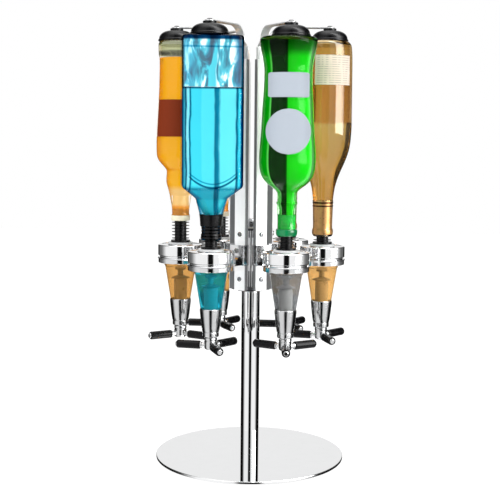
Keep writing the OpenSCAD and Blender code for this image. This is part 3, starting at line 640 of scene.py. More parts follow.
def makePlunger(i, s):
    first = leverHeading(i)
    sleeve = [v.co for v in frame["nodes"][f"lever_sleeves_{i}"].data.vertices]
    along = [(p - tapPlace[i]).dot(Vector((math.cos(first), math.sin(first), 0))) for p in sleeve]
    low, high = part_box(f"lever_sleeves_{i}")
    sleeveR = (high.z - low.z) / 2
    axisZ = (high.z + low.z) / 2
    outer = max(along)
    aside = Vector((-math.sin(first), math.cos(first), 0))
    onFirst = [a for a, p in zip(along, sleeve)
               if abs((p - tapPlace[i]).dot(aside)) < sleeveR * 1.05 and a > 0]
    inner = min(onFirst)
    rodTip = max((v.co - tapPlace[i]).dot(Vector((math.cos(first), math.sin(first), 0)))
                 for v in frame["nodes"][f"plunger_{i}"].data.vertices)
    core, closed = sectionOf(f"plunger_{i}", tapPlace[i], first + math.pi / 3)
    under = next(k for k, p in enumerate(core) if p[1] < s["split"])
    stem = core[under - 1][0]
    upper = core[:under] + [(stem, s["split"]), (0.0, s["split"])]
    lower = [(0.0, s["split"]), (stem, s["split"])] + core[under:]
    valve = [turnedParts(eased(upper, False, s["valveEdge"]), False, tapPlace[i], 64)]
    parts = [turnedParts(eased(lower, False, s["valveEdge"]), False, tapPlace[i], 96)]
    bore = sleeveR * 0.55
    rod = [(0.0, rodTip), (bore - 0.0006, rodTip), (bore + 0.0002, rodTip - 0.0006), (bore + 0.0006, outer),
           (bore, outer), (bore, inner), (bore + s["shoulder"], inner - 0.0001),
           (bore + s["shoulder"], inner - s["collarLen"]), (bore, inner - s["collarEnd"]),
           (bore - s["capEdge"], s["rodFoot"]), (0.0, s["rodFoot"])]
    grip = sleeveR
    round1 = s["sleeveRound"]
    sleeveLine = [(bore + 0.0001, inner), (grip - round1, inner), (grip - 0.3 * round1, inner + 0.3 * round1),
                  (grip, inner + 1.2 * round1), (grip, outer - 1.4 * round1),
                  (grip - 0.3 * round1, outer - 0.4 * round1), (grip - round1, outer), (bore + 0.0001, outer)]
    sleeves = []
    for k in range(3):
        basis = axisBasis(first + k * 2 * math.pi / 3)
        centre = tapPlace[i] + Vector((0, 0, axisZ))
        parts.append(turnedParts(eased(rod, False, s["capEdge"]), False, centre, s["rodSegments"], basis))
        sleeves.append(turnedParts(eased(sleeveLine, True, s["sleeveEdge"]), True, centre,
                                   s["sleeveSegments"], basis))
    body = f"plunger_{i}_body"
    makePiece(f"pressPlunger_{i}", parts, finishes["satin_chrome"], body,
              replaced=[f"plunger_{i}"])
    makePiece(f"valveStem_{i}", valve, finishes["valve_stem"], body,
              replaced=[f"plunger_{i}"])
    makePiece(f"leverSleeves_{i}", sleeves, finishes["black_grip"], body,
              replaced=[f"lever_sleeves_{i}"])


for i in stationNumbers:
    makePlunger(i, leverSet)
print("plungers made")

# return springs
springSet = dict(turns=6, steps=20, sides=10, wire=0.0014, dead=0.12, stroke=0.009)


def makeSpring(i, s):
    low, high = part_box(f"return_spring_{i}")
    coilR = (high.x - low.x) / 2 - s["wire"] / 2
    rise = high.z - low.z - s["wire"]
    points, faces = [], []
    count = s["turns"] * s["steps"]
    for k in range(count + 1):
        t = k / count
        angle = 2 * math.pi * k / s["steps"] + heading[i]
        z = low.z + s["wire"] / 2 + rise * (t - s["dead"] * math.sin(4 * math.pi * t) / 3)
        for n in range(s["sides"]):
            b = 2 * math.pi * n / s["sides"]
            r = coilR + s["wire"] / 2 * math.cos(b)
            points.append(tapPlace[i] + Vector((r * math.cos(angle), r * math.sin(angle),
                                                z + s["wire"] / 2 * math.sin(b))))
    for k in range(count):
        for n in range(s["sides"]):
            a = k * s["sides"]
            m = (n + 1) % s["sides"]
            faces.append([a + n, a + m, a + m + s["sides"], a + n + s["sides"]])
    faces.append(list(range(s["sides"])))
    faces.append(list(range(count * s["sides"], (count + 1) * s["sides"])))
    piece = makePiece(f"returnCoil_{i}", [(points, faces)], finishes["spring_wire"], carousel,
                      replaced=[f"return_spring_{i}"])
    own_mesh(piece)


for i in stationNumbers:
    makeSpring(i, springSet)
print("springs made")

# bottle clamps
for i in stationNumbers:
    parts = [turnedCopy(f"clamp_cup_{i}", cupPlace[i], heading[i], 96, 0.0006)]
    makePiece(f"rubberCup_{i}", parts, finishes["black_rubber"], f"clamp_{i}_body", sharp=40,
              replaced=[f"clamp_cup_{i}"])
stripSet = dict(thick=0.002, legR=0.0263, legWide=0.016, armWide=0.0125, crank=0.009, crankUp=0.022,
                crankRise=0.008,
                bend=0.02, padR=0.00725, rivetR=0.005, rivetTop=0.003, edge=0.0004, arcSteps=14)


def makeStrip(i, s):
    low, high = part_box(f"clamp_arm_{i}")
    level = high.z - s["thick"]
    half = s["thick"] / 2
    reach = cupPlace[i].length
    outward = cupPlace[i].normalized()
    side = Vector((-outward.y, outward.x, 0))
    back = s["legR"] + s["crank"]
    step = min(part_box("rails")[1].z + s["crankUp"], level - s["bend"] - s["crankRise"])
    line = [(s["legR"] + half, low.z), (s["legR"] + half, step - half),
            (back + half, step + s["crankRise"] - half), (back + half, level - s["bend"])]
    for k in range(1, s["arcSteps"] + 1):
        angle = math.pi - math.pi / 2 * k / s["arcSteps"]
        line.append((back + s["bend"] + (s["bend"] - half) * math.cos(angle),
                     level - s["bend"] + (s["bend"] - half) * math.sin(angle)))
    line.append((reach, level - half))
    line = braced(eased(line, False, 0.004), False)
    rings = []
    for k, (r, z) in enumerate(line):
        before, after = line[max(k - 1, 0)], line[min(k + 1, len(line) - 1)]
        along = Vector((after[0] - before[0], after[1] - before[1])).normalized()
        across = (-along.y, along.x)
        wide = (s["legWide"] if z < step - 0.002 else s["armWide"]) / 2
        ring = []
        for y, t in ribbonSection(wide, half, s["edge"]):
            ring.append(outward * (r + across[0] * t) + side * y + Vector((0, 0, z + across[1] * t)))
        rings.append(ring)
    pad = [(0.0, level), (s["padR"], level), (s["padR"], level - s["thick"]), (0.0, level - s["thick"])]
    rivet = [(0.0, high.z), (s["rivetTop"], high.z), (s["rivetR"], level), (0.0, level)]
    parts = [loftParts(rings, True, True), turnedParts(eased(pad, False, s["edge"]), False, cupPlace[i], 64)]
    makePiece(f"clampStrip_{i}", parts, finishes["strip_steel"], f"clamp_{i}_body", sharp=40,
              replaced=[f"clamp_arm_{i}"])
    makePiece(f"clampRivet_{i}", [turnedParts(eased(rivet, False, s["edge"]), False, cupPlace[i], 64)],
              finishes["rivet_steel"], f"clamp_{i}_body", sharp=40,
              replaced=[f"clamp_arm_{i}"])


def ribbonSection(wide, half, edge):  # a flat strip's section with soft edges, as (across, through) points
    points = []
    for cx, cy, first in ((1, 1, 0), (-1, 1, 90), (-1, -1, 180), (1, -1, 270)):
        for k in range(4):
            angle = math.radians(first + 30 * k)
            points.append((cx * (wide - edge) + edge * math.cos(angle),
                           cy * (half - edge) + edge * math.sin(angle)))
    return points


def loftParts(rings, closeLow, closeHigh):
    points, faces = [], []
    for ring in rings:
        points += ring
    count = len(rings[0])
    for k in range(len(rings) - 1):
        for n in range(count):
            m = (n + 1) % count
            a = k * count
            faces.append([a + n, a + m, a + m + count, a + n + count])
    if closeLow:
        faces.append(list(range(count))[::-1])
    if closeHigh:
        faces.append(list(range((len(rings) - 1) * count, len(rings) * count)))
    return points, faces


for i in stationNumbers:
    makeStrip(i, stripSet)
print("clamps made")

# dome-headed screws, each with a recess for the driver
screwSet = dict(headR=0.0041, headH=0.00246, shankR=0.002, railShank=0.0045, saddleShank=0.012, segments=40,
                edge=0.0002,
                dome=[(0.0, 0.0009), (0.0009, 0.001), (0.0017, 0.00215), (0.0027, 0.0019), (0.0036, 0.0011)],
                rim=0.0003)


def screwParts(i, r, z, shank, s):
    line = s["dome"] + [(s["headR"], s["rim"]), (s["headR"], 0.0), (s["shankR"], 0.0), (s["shankR"], -shank),
                        (0.0, -shank)]
    way = Vector((math.cos(heading[i]), math.sin(heading[i]), 0))
    return turnedParts(eased(line, False, s["edge"]), False, way * r + Vector((0, 0, z)), s["segments"],
                       axisBasis(heading[i]))


low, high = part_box("rail_screws")
faceR = max(v.co.x for v in frame["nodes"]["rail_screws"].data.vertices) - screwSet["headH"]
parts = [screwParts(i, faceR, z, screwSet["railShank"], screwSet) for i in stationNumbers
         for z in (low.z + screwSet["headR"], high.z - screwSet["headR"])]
makePiece("railScrews", parts, finishes["screw_steel"], carousel, replaced=["rail_screws"])
low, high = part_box("bracket_screws")
parts = [screwParts(i, high.x - screwSet["headH"], (low.z + high.z) / 2, screwSet["saddleShank"], screwSet)
         for i in stationNumbers]
makePiece("saddleScrews", parts, finishes["screw_steel"], carousel,
          replaced=["bracket_screws"])
print("screws made")

# bottles
clearTint = [(0.0, (1.0, 0.99, 0.97)), (0.5, (0.97, 0.94, 0.88)), (0.75, (0.85, 0.62, 0.36)),
             (1.0, (0.3, 0.16, 0.06))]
oliveTint = [(0.0, (0.75, 0.62, 0.34)), (0.4, (0.71, 0.56, 0.29)), (0.7, (0.45, 0.27, 0.11)),
             (0.9, (0.1, 0.04, 0.015)), (1.0, (0.04, 0.015, 0.005))]
blueTint = [(0.0, (0.97, 1.0, 1.0)), (0.12, (0.92, 0.99, 1.0)), (0.26, (0.2, 0.62, 0.78)),
            (0.5, (0.01, 0.16, 0.34)), (1.0, (0.0, 0.01, 0.05))]
greenTint = [(0.0, (0.8, 1.0, 0.8)), (0.45, (0.7, 0.98, 0.7)), (0.7, (0.1, 0.65, 0.1)),
             (0.88, (0.0, 0.22, 0.01)), (1.0, (0.0, 0.05, 0.0))]
wineLook = dict(slot="olive_glass", streak=0.86, specular=0.6, tint=oliveTint, heights=[
    (350, (255, 240, 215)), (420, (255, 240, 215)), (520, (255, 252, 245)), (533, (255, 255, 255)),
    (536, (248, 228, 205)), (585, (248, 225, 200)), (640, (255, 245, 230)), (660, (250, 235, 200))])
slimLook = dict(slot="amber_glass", streak=0.97, ior=1.3, tint=clearTint, heights=[
    (370, (255, 255, 255)), (388, (255, 255, 255)), (389, (250, 205, 120)), (402, (250, 205, 120)),
    (406, (255, 255, 255)),
    (635, (255, 255, 255)), (636, (215, 218, 198)), (639, (120, 122, 112)), (643, (140, 142, 130)),
    (645, (225, 228, 208)), (652, (215, 220, 190)), (656, (150, 155, 130)), (660, (110, 115, 95))])
# painted reflections above the blue drink: teal streaks and white highlights, with lighter and darker bands
# across the face
bluePaintedVeil = dict(level=0.5838, share=0.93, scale=62, tones=[
    (0.41, screen(0, 90, 115)), (0.47, screen(0, 135, 160)), (0.53, screen(60, 190, 210)),
    (0.58, screen(240, 252, 254))], stray=3.0, across=[
        (-46, (120, 215, 235)), (-30, (200, 240, 250)), (-26, (150, 235, 242)), (-20, (255, 255, 255)),
        (-13, (255, 255, 255)),
        (-9, (50, 200, 215)), (4, (40, 190, 208)), (8, (245, 255, 255)), (28, (255, 255, 255)),
        (34, (60, 160, 190)), (46, (30, 110, 150))])
glassLooks = {
    1: dict(slot="blue_glass", streak=0.98, ior=1.15, tint=blueTint, paintedVeil=bluePaintedVeil,
            across=[(-46, (0, 60, 105)), (-44.6, (0, 60, 105)), (-44, (255, 255, 255)),
                    (39.4, (255, 255, 255)),
                    (41, (80, 175, 200)), (43.4, (30, 120, 160)), (46, (0, 60, 110))],
            heights=[(350, (0, 60, 80)), (396, (0, 70, 90)), (399, (255, 255, 255)), (640, (255, 255, 255)),
                     (641, (120, 190, 210)), (643, (120, 190, 210)), (644, (255, 255, 255)),
                     (651, (255, 255, 255)), (653, (10, 70, 110)), (662, (0, 35, 70))]),
    2: dict(slot="green_glass", streak=0.95, ior=1.15, tint=greenTint,
            # painted shade: the green glass darkens towards the top, under the rubber cup
            heights=[(350, (255, 255, 255)), (636, (255, 255, 255)), (645, (120, 190, 120)),
                     (660, (60, 110, 60))]),
    3: wineLook, 4: wineLook, 5: slimLook, 6: slimLook,
}
# across the blue face: the panel's edge lines, and painted light and shade, a dark strip left and a brighter
# wedge right of the middle
blueEdgeAndShadeBands = [(-46, (10, 80, 130)), (-44.6, (10, 80, 130)), (-44, (90, 215, 230)), (-41.4, (90, 215, 230)),
              (-40.6, (0, 100, 130)), (-39.2, (0, 100, 130)), (-38.2, (150, 232, 242)),
              (-35.2, (150, 232, 242)),
              (-34.4, (0, 110, 140)), (-33, (0, 110, 140)), (-31.5, (82, 226, 240)), (-18, (82, 226, 240)),
              (-16.5, (104, 236, 244)), (1, (104, 236, 244)), (3, (8, 118, 145)), (8, (20, 138, 165)),
              (11, (124, 246, 250)), (32.5, (130, 248, 252)), (33.8, (0, 110, 140)), (35.8, (0, 110, 140)),
              (36.8, (50, 205, 225)), (39.6, (50, 205, 225)), (41, (5, 85, 135)), (46, (0, 45, 95))]
blueBorderShadeLines = dict(low=0.4385, rise=0.0165, half=0.035, tones=[
    (-3, (255, 255, 255)), (-1.6, (40, 130, 155)), (0.4, (20, 110, 140)), (1.2, (250, 255, 255)),
    (3.4, (250, 255, 255)), (4.2, (90, 180, 200)), (5.2, (90, 180, 200)), (6.4, (255, 255, 255))])
blueHeights = [(340, (75, 165, 175)), (398, (85, 170, 180)), (412, (140, 205, 212)), (436, (165, 215, 222)),
               (442, (255, 255, 255)), (575, (255, 255, 255)), (581, (255, 255, 255)),
               (582.4, (40, 100, 125)), (584, (40, 100, 125))]
# painted light and shade around the green drink: a dark band left of the middle, a pale streak, brighter and
# darker greens
greenLightShadeBands = [(-180, (30, 190, 30)), (-90, (10, 185, 10)), (-66, (0, 190, 0)), (-53, (0, 180, 0)),
               (-50, (120, 245, 110)),
               (-47, (120, 245, 110)), (-45, (0, 46, 0)), (-10, (0, 40, 0)), (-4, (0, 60, 0)),
               (-2, (32, 190, 28)),
               (14, (30, 186, 26)), (30, (8, 184, 8)), (58, (0, 195, 0)), (63, (0, 110, 0)),
               (76, (0, 100, 0)), (82, (0, 200, 0)), (180, (30, 190, 30))]
# painted shade: the green drink darkens towards the top, under the rubber cup
greenShadeUnderCup = [(340, (255, 255, 255)), (600, (255, 255, 255)), (628, (235, 245, 235)),
                (638, (110, 150, 110)), (655, (90, 130, 90))]
# glow in the drinks below is painted light: emission that lifts their colour
wineDrink = dict(level=0.536, ior=1.3, color=(0.97, 0.93, 0.84), light=(1.0, 0.97, 0.9))
slimDrink = dict(level=0.634, color=screen(255, 212, 135), light=screen(255, 220, 150), cloudy=0.4, glow=0.16,
                 specular=0.0, heights=[(340, (255, 255, 255)), (428, (255, 255, 255)), (436, (255, 228, 48)),
                                        (640, (255, 224, 36))])
drinks = {
    1: dict(level=0.5835, cloudy=0.8, rough=0.15, specular=0.0, color=(0.93, 0.97, 0.98),
            light=(1.0, 1.0, 1.0),
            across=blueEdgeAndShadeBands, heights=blueHeights, bow=blueBorderShadeLines, glow=0.13, stray=1.5),
    2: dict(level=0.652, cloudy=0.8, rough=0.15, specular=0.0, color=(0.9, 0.95, 0.9), light=(1.0, 1.0, 1.0),
            around=greenLightShadeBands, heights=greenShadeUnderCup, glow=0.12),
    3: wineDrink, 4: wineDrink, 5: slimDrink, 6: slimDrink,
}
bottleSet = dict(segments=144, rim=0.0007, overlap=0.00015, foot=0.0015)


def radiusAt(line, z):  # line holds (radius, height) points in order of height
    for a, b in zip(line, line[1:]):
        if min(a[1], b[1]) - 1e-9 <= z <= max(a[1], b[1]) + 1e-9 and abs(b[1] - a[1]) > 1e-9:
            return a[0] + (b[0] - a[0]) * (z - a[1]) / (b[1] - a[1])
    return line[-1][0]


def bottleLines(i):
    # the outer and the inner line of a round bottle, both from the mouth upwards
    outline, closed = sectionOf(f"bottle_{i}", tapPlace[i], heading[i])
    mouth = min(p[1] for p in outline)
    onMouth = [k for k, p in enumerate(outline) if p[1] < mouth + 1e-5]
    outer = outline[:onMouth[0] + 1][::-1]
    inner = outline[onMouth[-1]:]
    return outline, outer, inner


def drinkLine(inner, low, high, overlap):
    line = [(radiusAt(inner, low) + overlap, low)]
    line += [(r + overlap, z) for r, z in inner if low < z < high]
    line.append((radiusAt(inner, high) + overlap, high))
    return [(0.0, high)] + line[::-1] + [(0.0, low)]


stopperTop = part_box("stoppers")[1].z
outerLine = {}
for i in stationNumbers:
    if i == 1:
        continue
    outline, outer, inner = bottleLines(i)
    outerLine[i] = outer
    look = glassLooks[i]
    parts = [turnedParts(eased(outline, False, bottleSet["rim"]), False, tapPlace[i], bottleSet["segments"])]
    makePiece(f"bottleGlass_{i}", parts, glassFinish(f"{look['slot']}_{i}", look), carousel,
              sharp=35, replaced=[f"bottle_{i}"])
    line = drinkLine(inner, stopperTop - bottleSet["foot"], drinks[i]["level"], bottleSet["overlap"])
    makePiece(f"bottleDrink_{i}", [turnedParts(line, False, tapPlace[i], bottleSet["segments"])],
              liquidFinish(f"bottleDrink_{i}", drinks[i], tapPlace[i]), carousel, sharp=35)
print("round bottles made")

# the square-shouldered bottle, lofted from slices of its solid
squareSet = dict(levels=200, wideSteps=64, narrowSteps=14, cornerSteps=12, corner=0.0098, neckTop=0.046,
                 shoulder=0.078, panelHalf=0.0365, panelDepth=0.0011, panelEdge=0.0016, panelLow=0.438,
                 panelBow=0.017, panelTop=0.648, wall=0.003, base=0.006, boreR=0.00975,
                 neckBands=[(0.3805, 0.3975), (0.3758, 0.3782), (0.3711, 0.3735), (0.3664, 0.3688),
                            (0.3617, 0.3641)])


def sliceReach(cutMesh, centre, turn, z):  # half width and half depth of the solid at a height
    u = Vector((math.cos(turn), math.sin(turn), 0))
    v = Vector((-math.sin(turn), math.cos(turn), 0))
    across, deep = 0.0, 0.0
    for edge in cutMesh.edges:
        a, b = edge.verts[0].co, edge.verts[1].co
        if (a.z - z) * (b.z - z) <= 0 and abs(a.z - b.z) > 1e-9:
            p = a.lerp(b, (z - a.z) / (b.z - a.z)) - centre
            across = max(across, abs(p.dot(u)))
            deep = max(deep, abs(p.dot(v)))
    return across, deep


def easeStep(t):
    t = min(max(t, 0.0), 1.0)
    return t * t * (3 - 2 * t)


def ringPoints(halfW, halfD, corner, s):
    # round-cornered rectangle, counter-clockwise from the middle of the +u side
    steps = []
    w, d = halfW - corner, halfD - corner
    sides = [((halfW, -d), (halfW, d), s["narrowSteps"], 0), ((w, halfD), (-w, halfD), s["wideSteps"], 90),
             ((-halfW, d), (-halfW, -d), s["narrowSteps"], 180),
             ((-w, -halfD), (w, -halfD), s["wideSteps"], 270)]
    corners = [(w, d), (-w, d), (-w, -d), (w, -d)]
    for (start, end, count, angle), (cx, cy) in zip(sides, corners):
        for k in range(count):
            t = k / count
            steps.append((start[0] + (end[0] - start[0]) * t, start[1] + (end[1] - start[1]) * t))
        for k in range(s["cornerSteps"]):
            a = math.radians(angle + 90 * k / s["cornerSteps"])
            steps.append((cx + corner * math.cos(a), cy + corner * math.sin(a)))
    return steps


def panelDrop(u, z, s):  # depth of the shallow panel in the two wide faces
    low = s["panelLow"] + s["panelBow"] * (u / s["panelHalf"]) ** 2
    inside = min(s["panelHalf"] - abs(u), z - low, s["panelTop"] - z)
    return s["panelDepth"] * easeStep(inside / s["panelEdge"] + 0.5)


def makeSquareBottle(i, s):
    low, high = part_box(f"bottle_{i}")
    turn = squareTurn(i)
    cutMesh = bmesh.new()
    cutMesh.from_mesh(frame["nodes"][f"bottle_{i}"].data)
    mouth, top = low.z, high.z
    u = Vector((math.cos(turn), math.sin(turn), 0))
    v = Vector((-math.sin(turn), math.cos(turn), 0))
    heights = [mouth + (top - mouth) * k / s["levels"] for k in range(s["levels"] + 1)]
    heights += [mouth + 0.0006, top - 0.0005, top - 0.0012, top - 0.0022, top - 0.0035]
    heights = sorted(heights)
    reach = {z: sliceReach(cutMesh, tapPlace[i], turn,
                           min(max(z, mouth + 1e-5), top - 1e-5)) for z in heights}
    cutMesh.free()

    def ringAt(z, inset, panel):
        across, deep = reach[z] if z in reach else reach[min(heights, key=lambda h: abs(h - z))]
        mix = easeStep((z - mouth - s["neckTop"] + 0.004) / (s["shoulder"] - s["neckTop"]))
        halfW, halfD = across - inset, deep - inset
        full = min(halfW, halfD)
        corner = full + (max(s["corner"] - inset, 0.004) - full) * mix
        corner = min(corner, full - 1e-5)
        ring = []
        for a, b in ringPoints(halfW, halfD, corner, s):
            drop = panelDrop(a, z, s) if panel and abs(b) > halfD - 1e-4 else 0.0
            b -= math.copysign(drop, b)
            ring.append(tapPlace[i] + u * a + v * b + Vector((0, 0, z)))
        return ring

    bands = []
    for low, high in s["neckBands"]:  # the dark collar round the neck and the rings below it
        levels = [low] + [z for z in heights if low < z < high] + [high]
        skin = [ringAt(z, -0.00035, False) for z in levels] + [ringAt(z, 0.0, False) for z in levels[::-1]]
        bands.append(loftParts(skin + [skin[0]], False, False))
    makePiece(f"neckBand_{i}", bands, finishes["black_rubber"], carousel, sharp=40)
    outer = [ringAt(z, 0.0, True) for z in heights]
    boreTop = mouth + 0.042
    bore = s["boreR"]
    innerHeights = [z for z in heights if boreTop < z < top - s["base"] - 0.0005] + [top - s["base"]]
    inner = [[tapPlace[i] + Vector((0, 0, z)) + (u * math.cos(a) + v * math.sin(a)) * bore
              for a in ringAngles(s)] for z in (mouth, mouth + 0.02, boreTop - 0.002)]
    inner += [ringAt(z, s["wall"] * wallShare(z, boreTop), True) for z in innerHeights]
    points, faces = loftParts(outer, False, True)
    innerPoints, innerFaces = loftParts(inner, False, True)
    start = len(points)
    count = len(outer[0])
    faces += [[k + start for k in face] for face in innerFaces]
    faces += [[n, (n + 1) % count, start + (n + 1) % count, start + n] for n in range(count)]
    look = glassLooks[i]
    across = v if v.x * besideCamera.x + v.y * besideCamera.y > 0.7 else u
    finish = glassFinish(f"{look['slot']}_{i}", look, tapPlace[i], across)
    makePiece(f"bottleGlass_{i}", [(points + innerPoints, faces)], finish,
              carousel, sharp=40, replaced=[f"bottle_{i}"])
    level = drinks[i]["level"]
    grow = bottleSet["overlap"]
    wet = [z for z in innerHeights if z < level - 0.001] + [level]
    drink = [[tapPlace[i] + Vector((0, 0, z)) + (u * math.cos(a) + v * math.sin(a)) * (bore + grow)
              for a in ringAngles(s)] for z in (stopperTop - bottleSet["foot"], boreTop - 0.002)]
    drink += [ringAt(z, s["wall"] * wallShare(z, boreTop) - grow, True) for z in wet[:-1]]
    last = [p.copy() for p in drink[-1]]
    for p in last:
        p.z = level
    drink.append(last)
    makePiece(f"bottleDrink_{i}", [loftParts(drink, True, True)],
              liquidFinish(f"bottleDrink_{i}", drinks[i], tapPlace[i], across), carousel,
              sharp=40)


def ringAngles(s):  # the same steps as ringPoints, on a circle
    ring = ringPoints(1.0001, 1.0001, 1.0, s)
    return [math.atan2(b, a) for a, b in ring]


def wallShare(z, boreTop):  # the wall thickens towards the neck
    return 1 + 1.2 * (1 - easeStep((z - boreTop) / 0.02))


def squareTurn(i):  # the direction of the wide faces: where the solid reaches least far
    points = [v.co - tapPlace[i] for v in frame["nodes"][f"bottle_{i}"].data.vertices]
    points = [p for p in points if p.z > 0.5]
    best = min(range(0, 1800), key=lambda k: max(
        abs(p.y * math.cos(math.radians(k / 10)) - p.x * math.sin(math.radians(k / 10))) for p in points))
    return math.radians(best / 10)


makeSquareBottle(1, squareSet)
print("square bottle made")

# labels, foils and rings on the glass
labelLift = 0.00018
panelGrey = screen(170, 178, 188)
cream = screen(236, 222, 205)
darkBrown = screen(118, 42, 10)
labels = {
    "frontPanel_2": dict(station=2, shape="box", low=0.5702, high=0.6057, half=0.03, corner=0.003,
                         color=panelGrey),
    "frontRound_2": dict(station=2, shape="disc", low=0.488, high=0.554, half=0.033, color=panelGrey),
    "backPaper_3": dict(station=3, shape="wrap", low=0.5925, high=0.6375, start=-25, end=58, color=cream,
                        rules=92),
    "bodyPaper_6": dict(station=6, shape="wrap", low=0.512, high=0.569, start=-72, end=8, color=darkBrown),
    "edgePaper_6": dict(station=6, shape="wrap", low=0.512, high=0.569, start=-95, end=-73, color=cream),
    "sidePaper_6": dict(station=6, shape="wrap", low=0.508, high=0.584, start=9, end=30, color=cream,
                        rules=92),
    "sealPaper_6": dict(station=6, shape="wrap", low=0.604, high=0.624, start=4, end=12,
                        color=screen(170, 40, 25)),
    "bodyPaper_5": dict(station=5, shape="wrap", low=0.512, high=0.569, start=-60, end=60, color=darkBrown),
    "bodyPaper_4": dict(station=4, shape="wrap", low=0.48, high=0.585, start=120, end=240, color=cream,
                        rules=92),
}


def labelSurface(name, s):
    # a thin patch that follows the glass, seen as its shape from the front
    line = outerLine[s["station"]]
    centre = tapPlace[s["station"]]
    columns, rowCount = 48, 40
    rows = []
    for k in range(rowCount + 1):
        z = s["low"] + (s["high"] - s["low"]) * k / rowCount
        radius = radiusAt(line, z) + labelLift
        row = []
        for n in range(columns + 1):
            t = 2 * n / columns - 1
            if s["shape"] == "wrap":
                angle = math.radians(s["start"] + (s["end"] - s["start"]) * n / columns)
            else:
                half = s["half"]
                if s["shape"] == "disc":
                    half *= math.sqrt(max(1e-6, 1 - ((2 * k / rowCount) - 1) ** 2))
                else:
                    short = max(0.0, s["corner"] - min(z - s["low"], s["high"] - z))
                    half -= s["corner"] - math.sqrt(max(0.0, s["corner"] ** 2 - short ** 2))
                angle = math.asin(max(-1, min(1, t * half / radius)))
            row.append(centre + (towardCamera * math.cos(angle) + besideCamera * math.sin(angle)) * radius
                       + Vector((0, 0, z)))
        rows.append(row)
    return rows


def thickSheet(rows, centre, thickness):
    # closes a sheet into a thin body, its back towards the axis
    points, faces = [], []
    wide = len(rows[0])
    for back in (0, 1):
        for row in rows:
            for p in row:
                out = floorPoint(p - centre).normalized()
                points.append(p - out * thickness * back)
    layer = len(rows) * wide
    for k in range(len(rows) - 1):
        for n in range(wide - 1):
            a = k * wide + n
            face = [a, a + 1, a + wide + 1, a + wide]
            faces.append(face)
            faces.append([index + layer for index in face[::-1]])
    border = [n for n in range(wide)] + [k * wide + wide - 1 for k in range(1, len(rows))]
    border += [(len(rows) - 1) * wide + n for n in range(wide - 2, -1, -1)]
    border += [k * wide for k in range(len(rows) - 2, 0, -1)]
    for a, b in zip(border, border[1:] + border[:1]):
        faces.append([b, a, a + layer, b + layer])
    return points, faces


for name, s in labels.items():
    rows = labelSurface(name, s)
    parts = [thickSheet(rows, tapPlace[s["station"]], 0.00012)]
    makePiece(name, parts, paperFinish(name, s), carousel, sharp=60)


def neckShell(i, low, high, lift, thickness):  # a foil or ring that follows the bottle's neck
    line = outerLine[i]
    heights = [low] + [z for _, z in line if low < z < high] + [high]
    outer = [(radiusAt(line, z) + lift + thickness, z) for z in heights]
    inner = [(radiusAt(line, z) + lift, z) for z in heights]
    return turnedParts(eased(outer + inner[::-1], True, thickness * 0.4), True, tapPlace[i], 96)


neckMetals = {
    "neck_foil": dict(color=(0.62, 0.33, 0.12), rough=(0.25, 0.36), grainScale=200, toneScale=140,
                      toneDrop=0.86,
                      bump=0.00006, bumpStrength=0.25, metallic=0.7),
    "dark_foil": dict(color=(0.05, 0.022, 0.012), rough=(0.3, 0.4)),
    "gold_foil": dict(color=(0.85, 0.62, 0.25), rough=(0.15, 0.25)),
}
neckPlastics = {
    "pale_ring": dict(color=(0.8, 0.74, 0.56), rough=(0.25, 0.35), toneLift=1.05),
    "amber_neck": dict(color=screen(222, 172, 98), rough=(0.1, 0.16), toneLift=1.1),
    "green_neck": dict(color=screen(0, 150, 48), rough=(0.08, 0.14), toneLift=1.5),
    "green_mouth": dict(color=screen(0, 112, 62), rough=(0.08, 0.14), toneLift=1.4),
}
finishes.update({name: metalFinish(name, s) for name, s in neckMetals.items()})
finishes.update({name: plasticFinish(name, s) for name, s in neckPlastics.items()})
neckPieces = {  # by station: bands from one height to another, standing off the glass by their lift
    (3, 4): [
        dict(name="neckFoil", bands=[(0.3612, 0.4135)], lift=0.00005, thick=0.0003, finish="neck_foil"),
        dict(name="foilBands", bands=[(0.4048, 0.407), (0.4098, 0.4122)], lift=0.0003, thick=0.0004,
             finish="dark_foil"),
        dict(name="foilEdge", bands=[(0.4135, 0.4147)], lift=0.00005, thick=0.0004, finish="gold_foil"),
    ],
    (5, 6): [
        dict(name="mouthRing", bands=[(0.3802, 0.3885)], lift=0.00003, thick=0.0003, finish="pale_ring"),
        dict(name="neckTint", bands=[(0.3887, 0.3985)], lift=-0.0003, thick=0.0003, finish="amber_neck"),
    ],
    (2,): [
        dict(name="neckTint", bands=[(0.3772, 0.3985)], lift=-0.0003, thick=0.0003, finish="green_neck"),
        dict(name="mouthRing", bands=[(0.3668, 0.377)], lift=-0.0001, thick=0.0003, finish="green_mouth"),
    ],
}
for i, s in ((i, s) for stations, rings in neckPieces.items() for i in stations for s in rings):
    shells = [neckShell(i, low, high, s["lift"], s["thick"]) for low, high in s["bands"]]
    makePiece(f"{s['name']}_{i}", shells, finishes[s["finish"]], carousel)
print("labels and foils made")

# finishes on the solids that stay
for sub in frame["record"]["subparts"]:
    node = frame["nodes"][sub["node"]]
    if node.hide_render:
        continue
    node.data.materials.clear()
    node.data.materials.append(finishes[sub["material_slot"]])
print("solids finished")


# floor, room and lamps
roomSet = dict(plain=0.95, levelFrom=-0.16, levelTo=-0.125, backFrom=0.0, backTo=0.02, ceilingFrom=0.72,
               ceilingTo=0.97, floorFrom=-0.62, floorTo=-0.75, ceilingPower=3.0, windowPower=11.0,
               windowFrom=42,
               windowTo=86, windowLow=-0.1)
black = 0.004
lowBands = [(0, black), (12, black), (19, 0.9), (30, 1.0), (66, 1.0), (84, 0.3), (92, black), (180, black)]
levelBands = [(0, black), (11, black), (15.5, 1.0), (75, 1.0), (100, 0.3), (112, 0.16), (136, 0.13),
              (140, black), (180, black)]
backBands = lowBands[:-1] + [(156, black), (162, 0.88), (180, 0.88)]  # degrees from the camera's side, grey


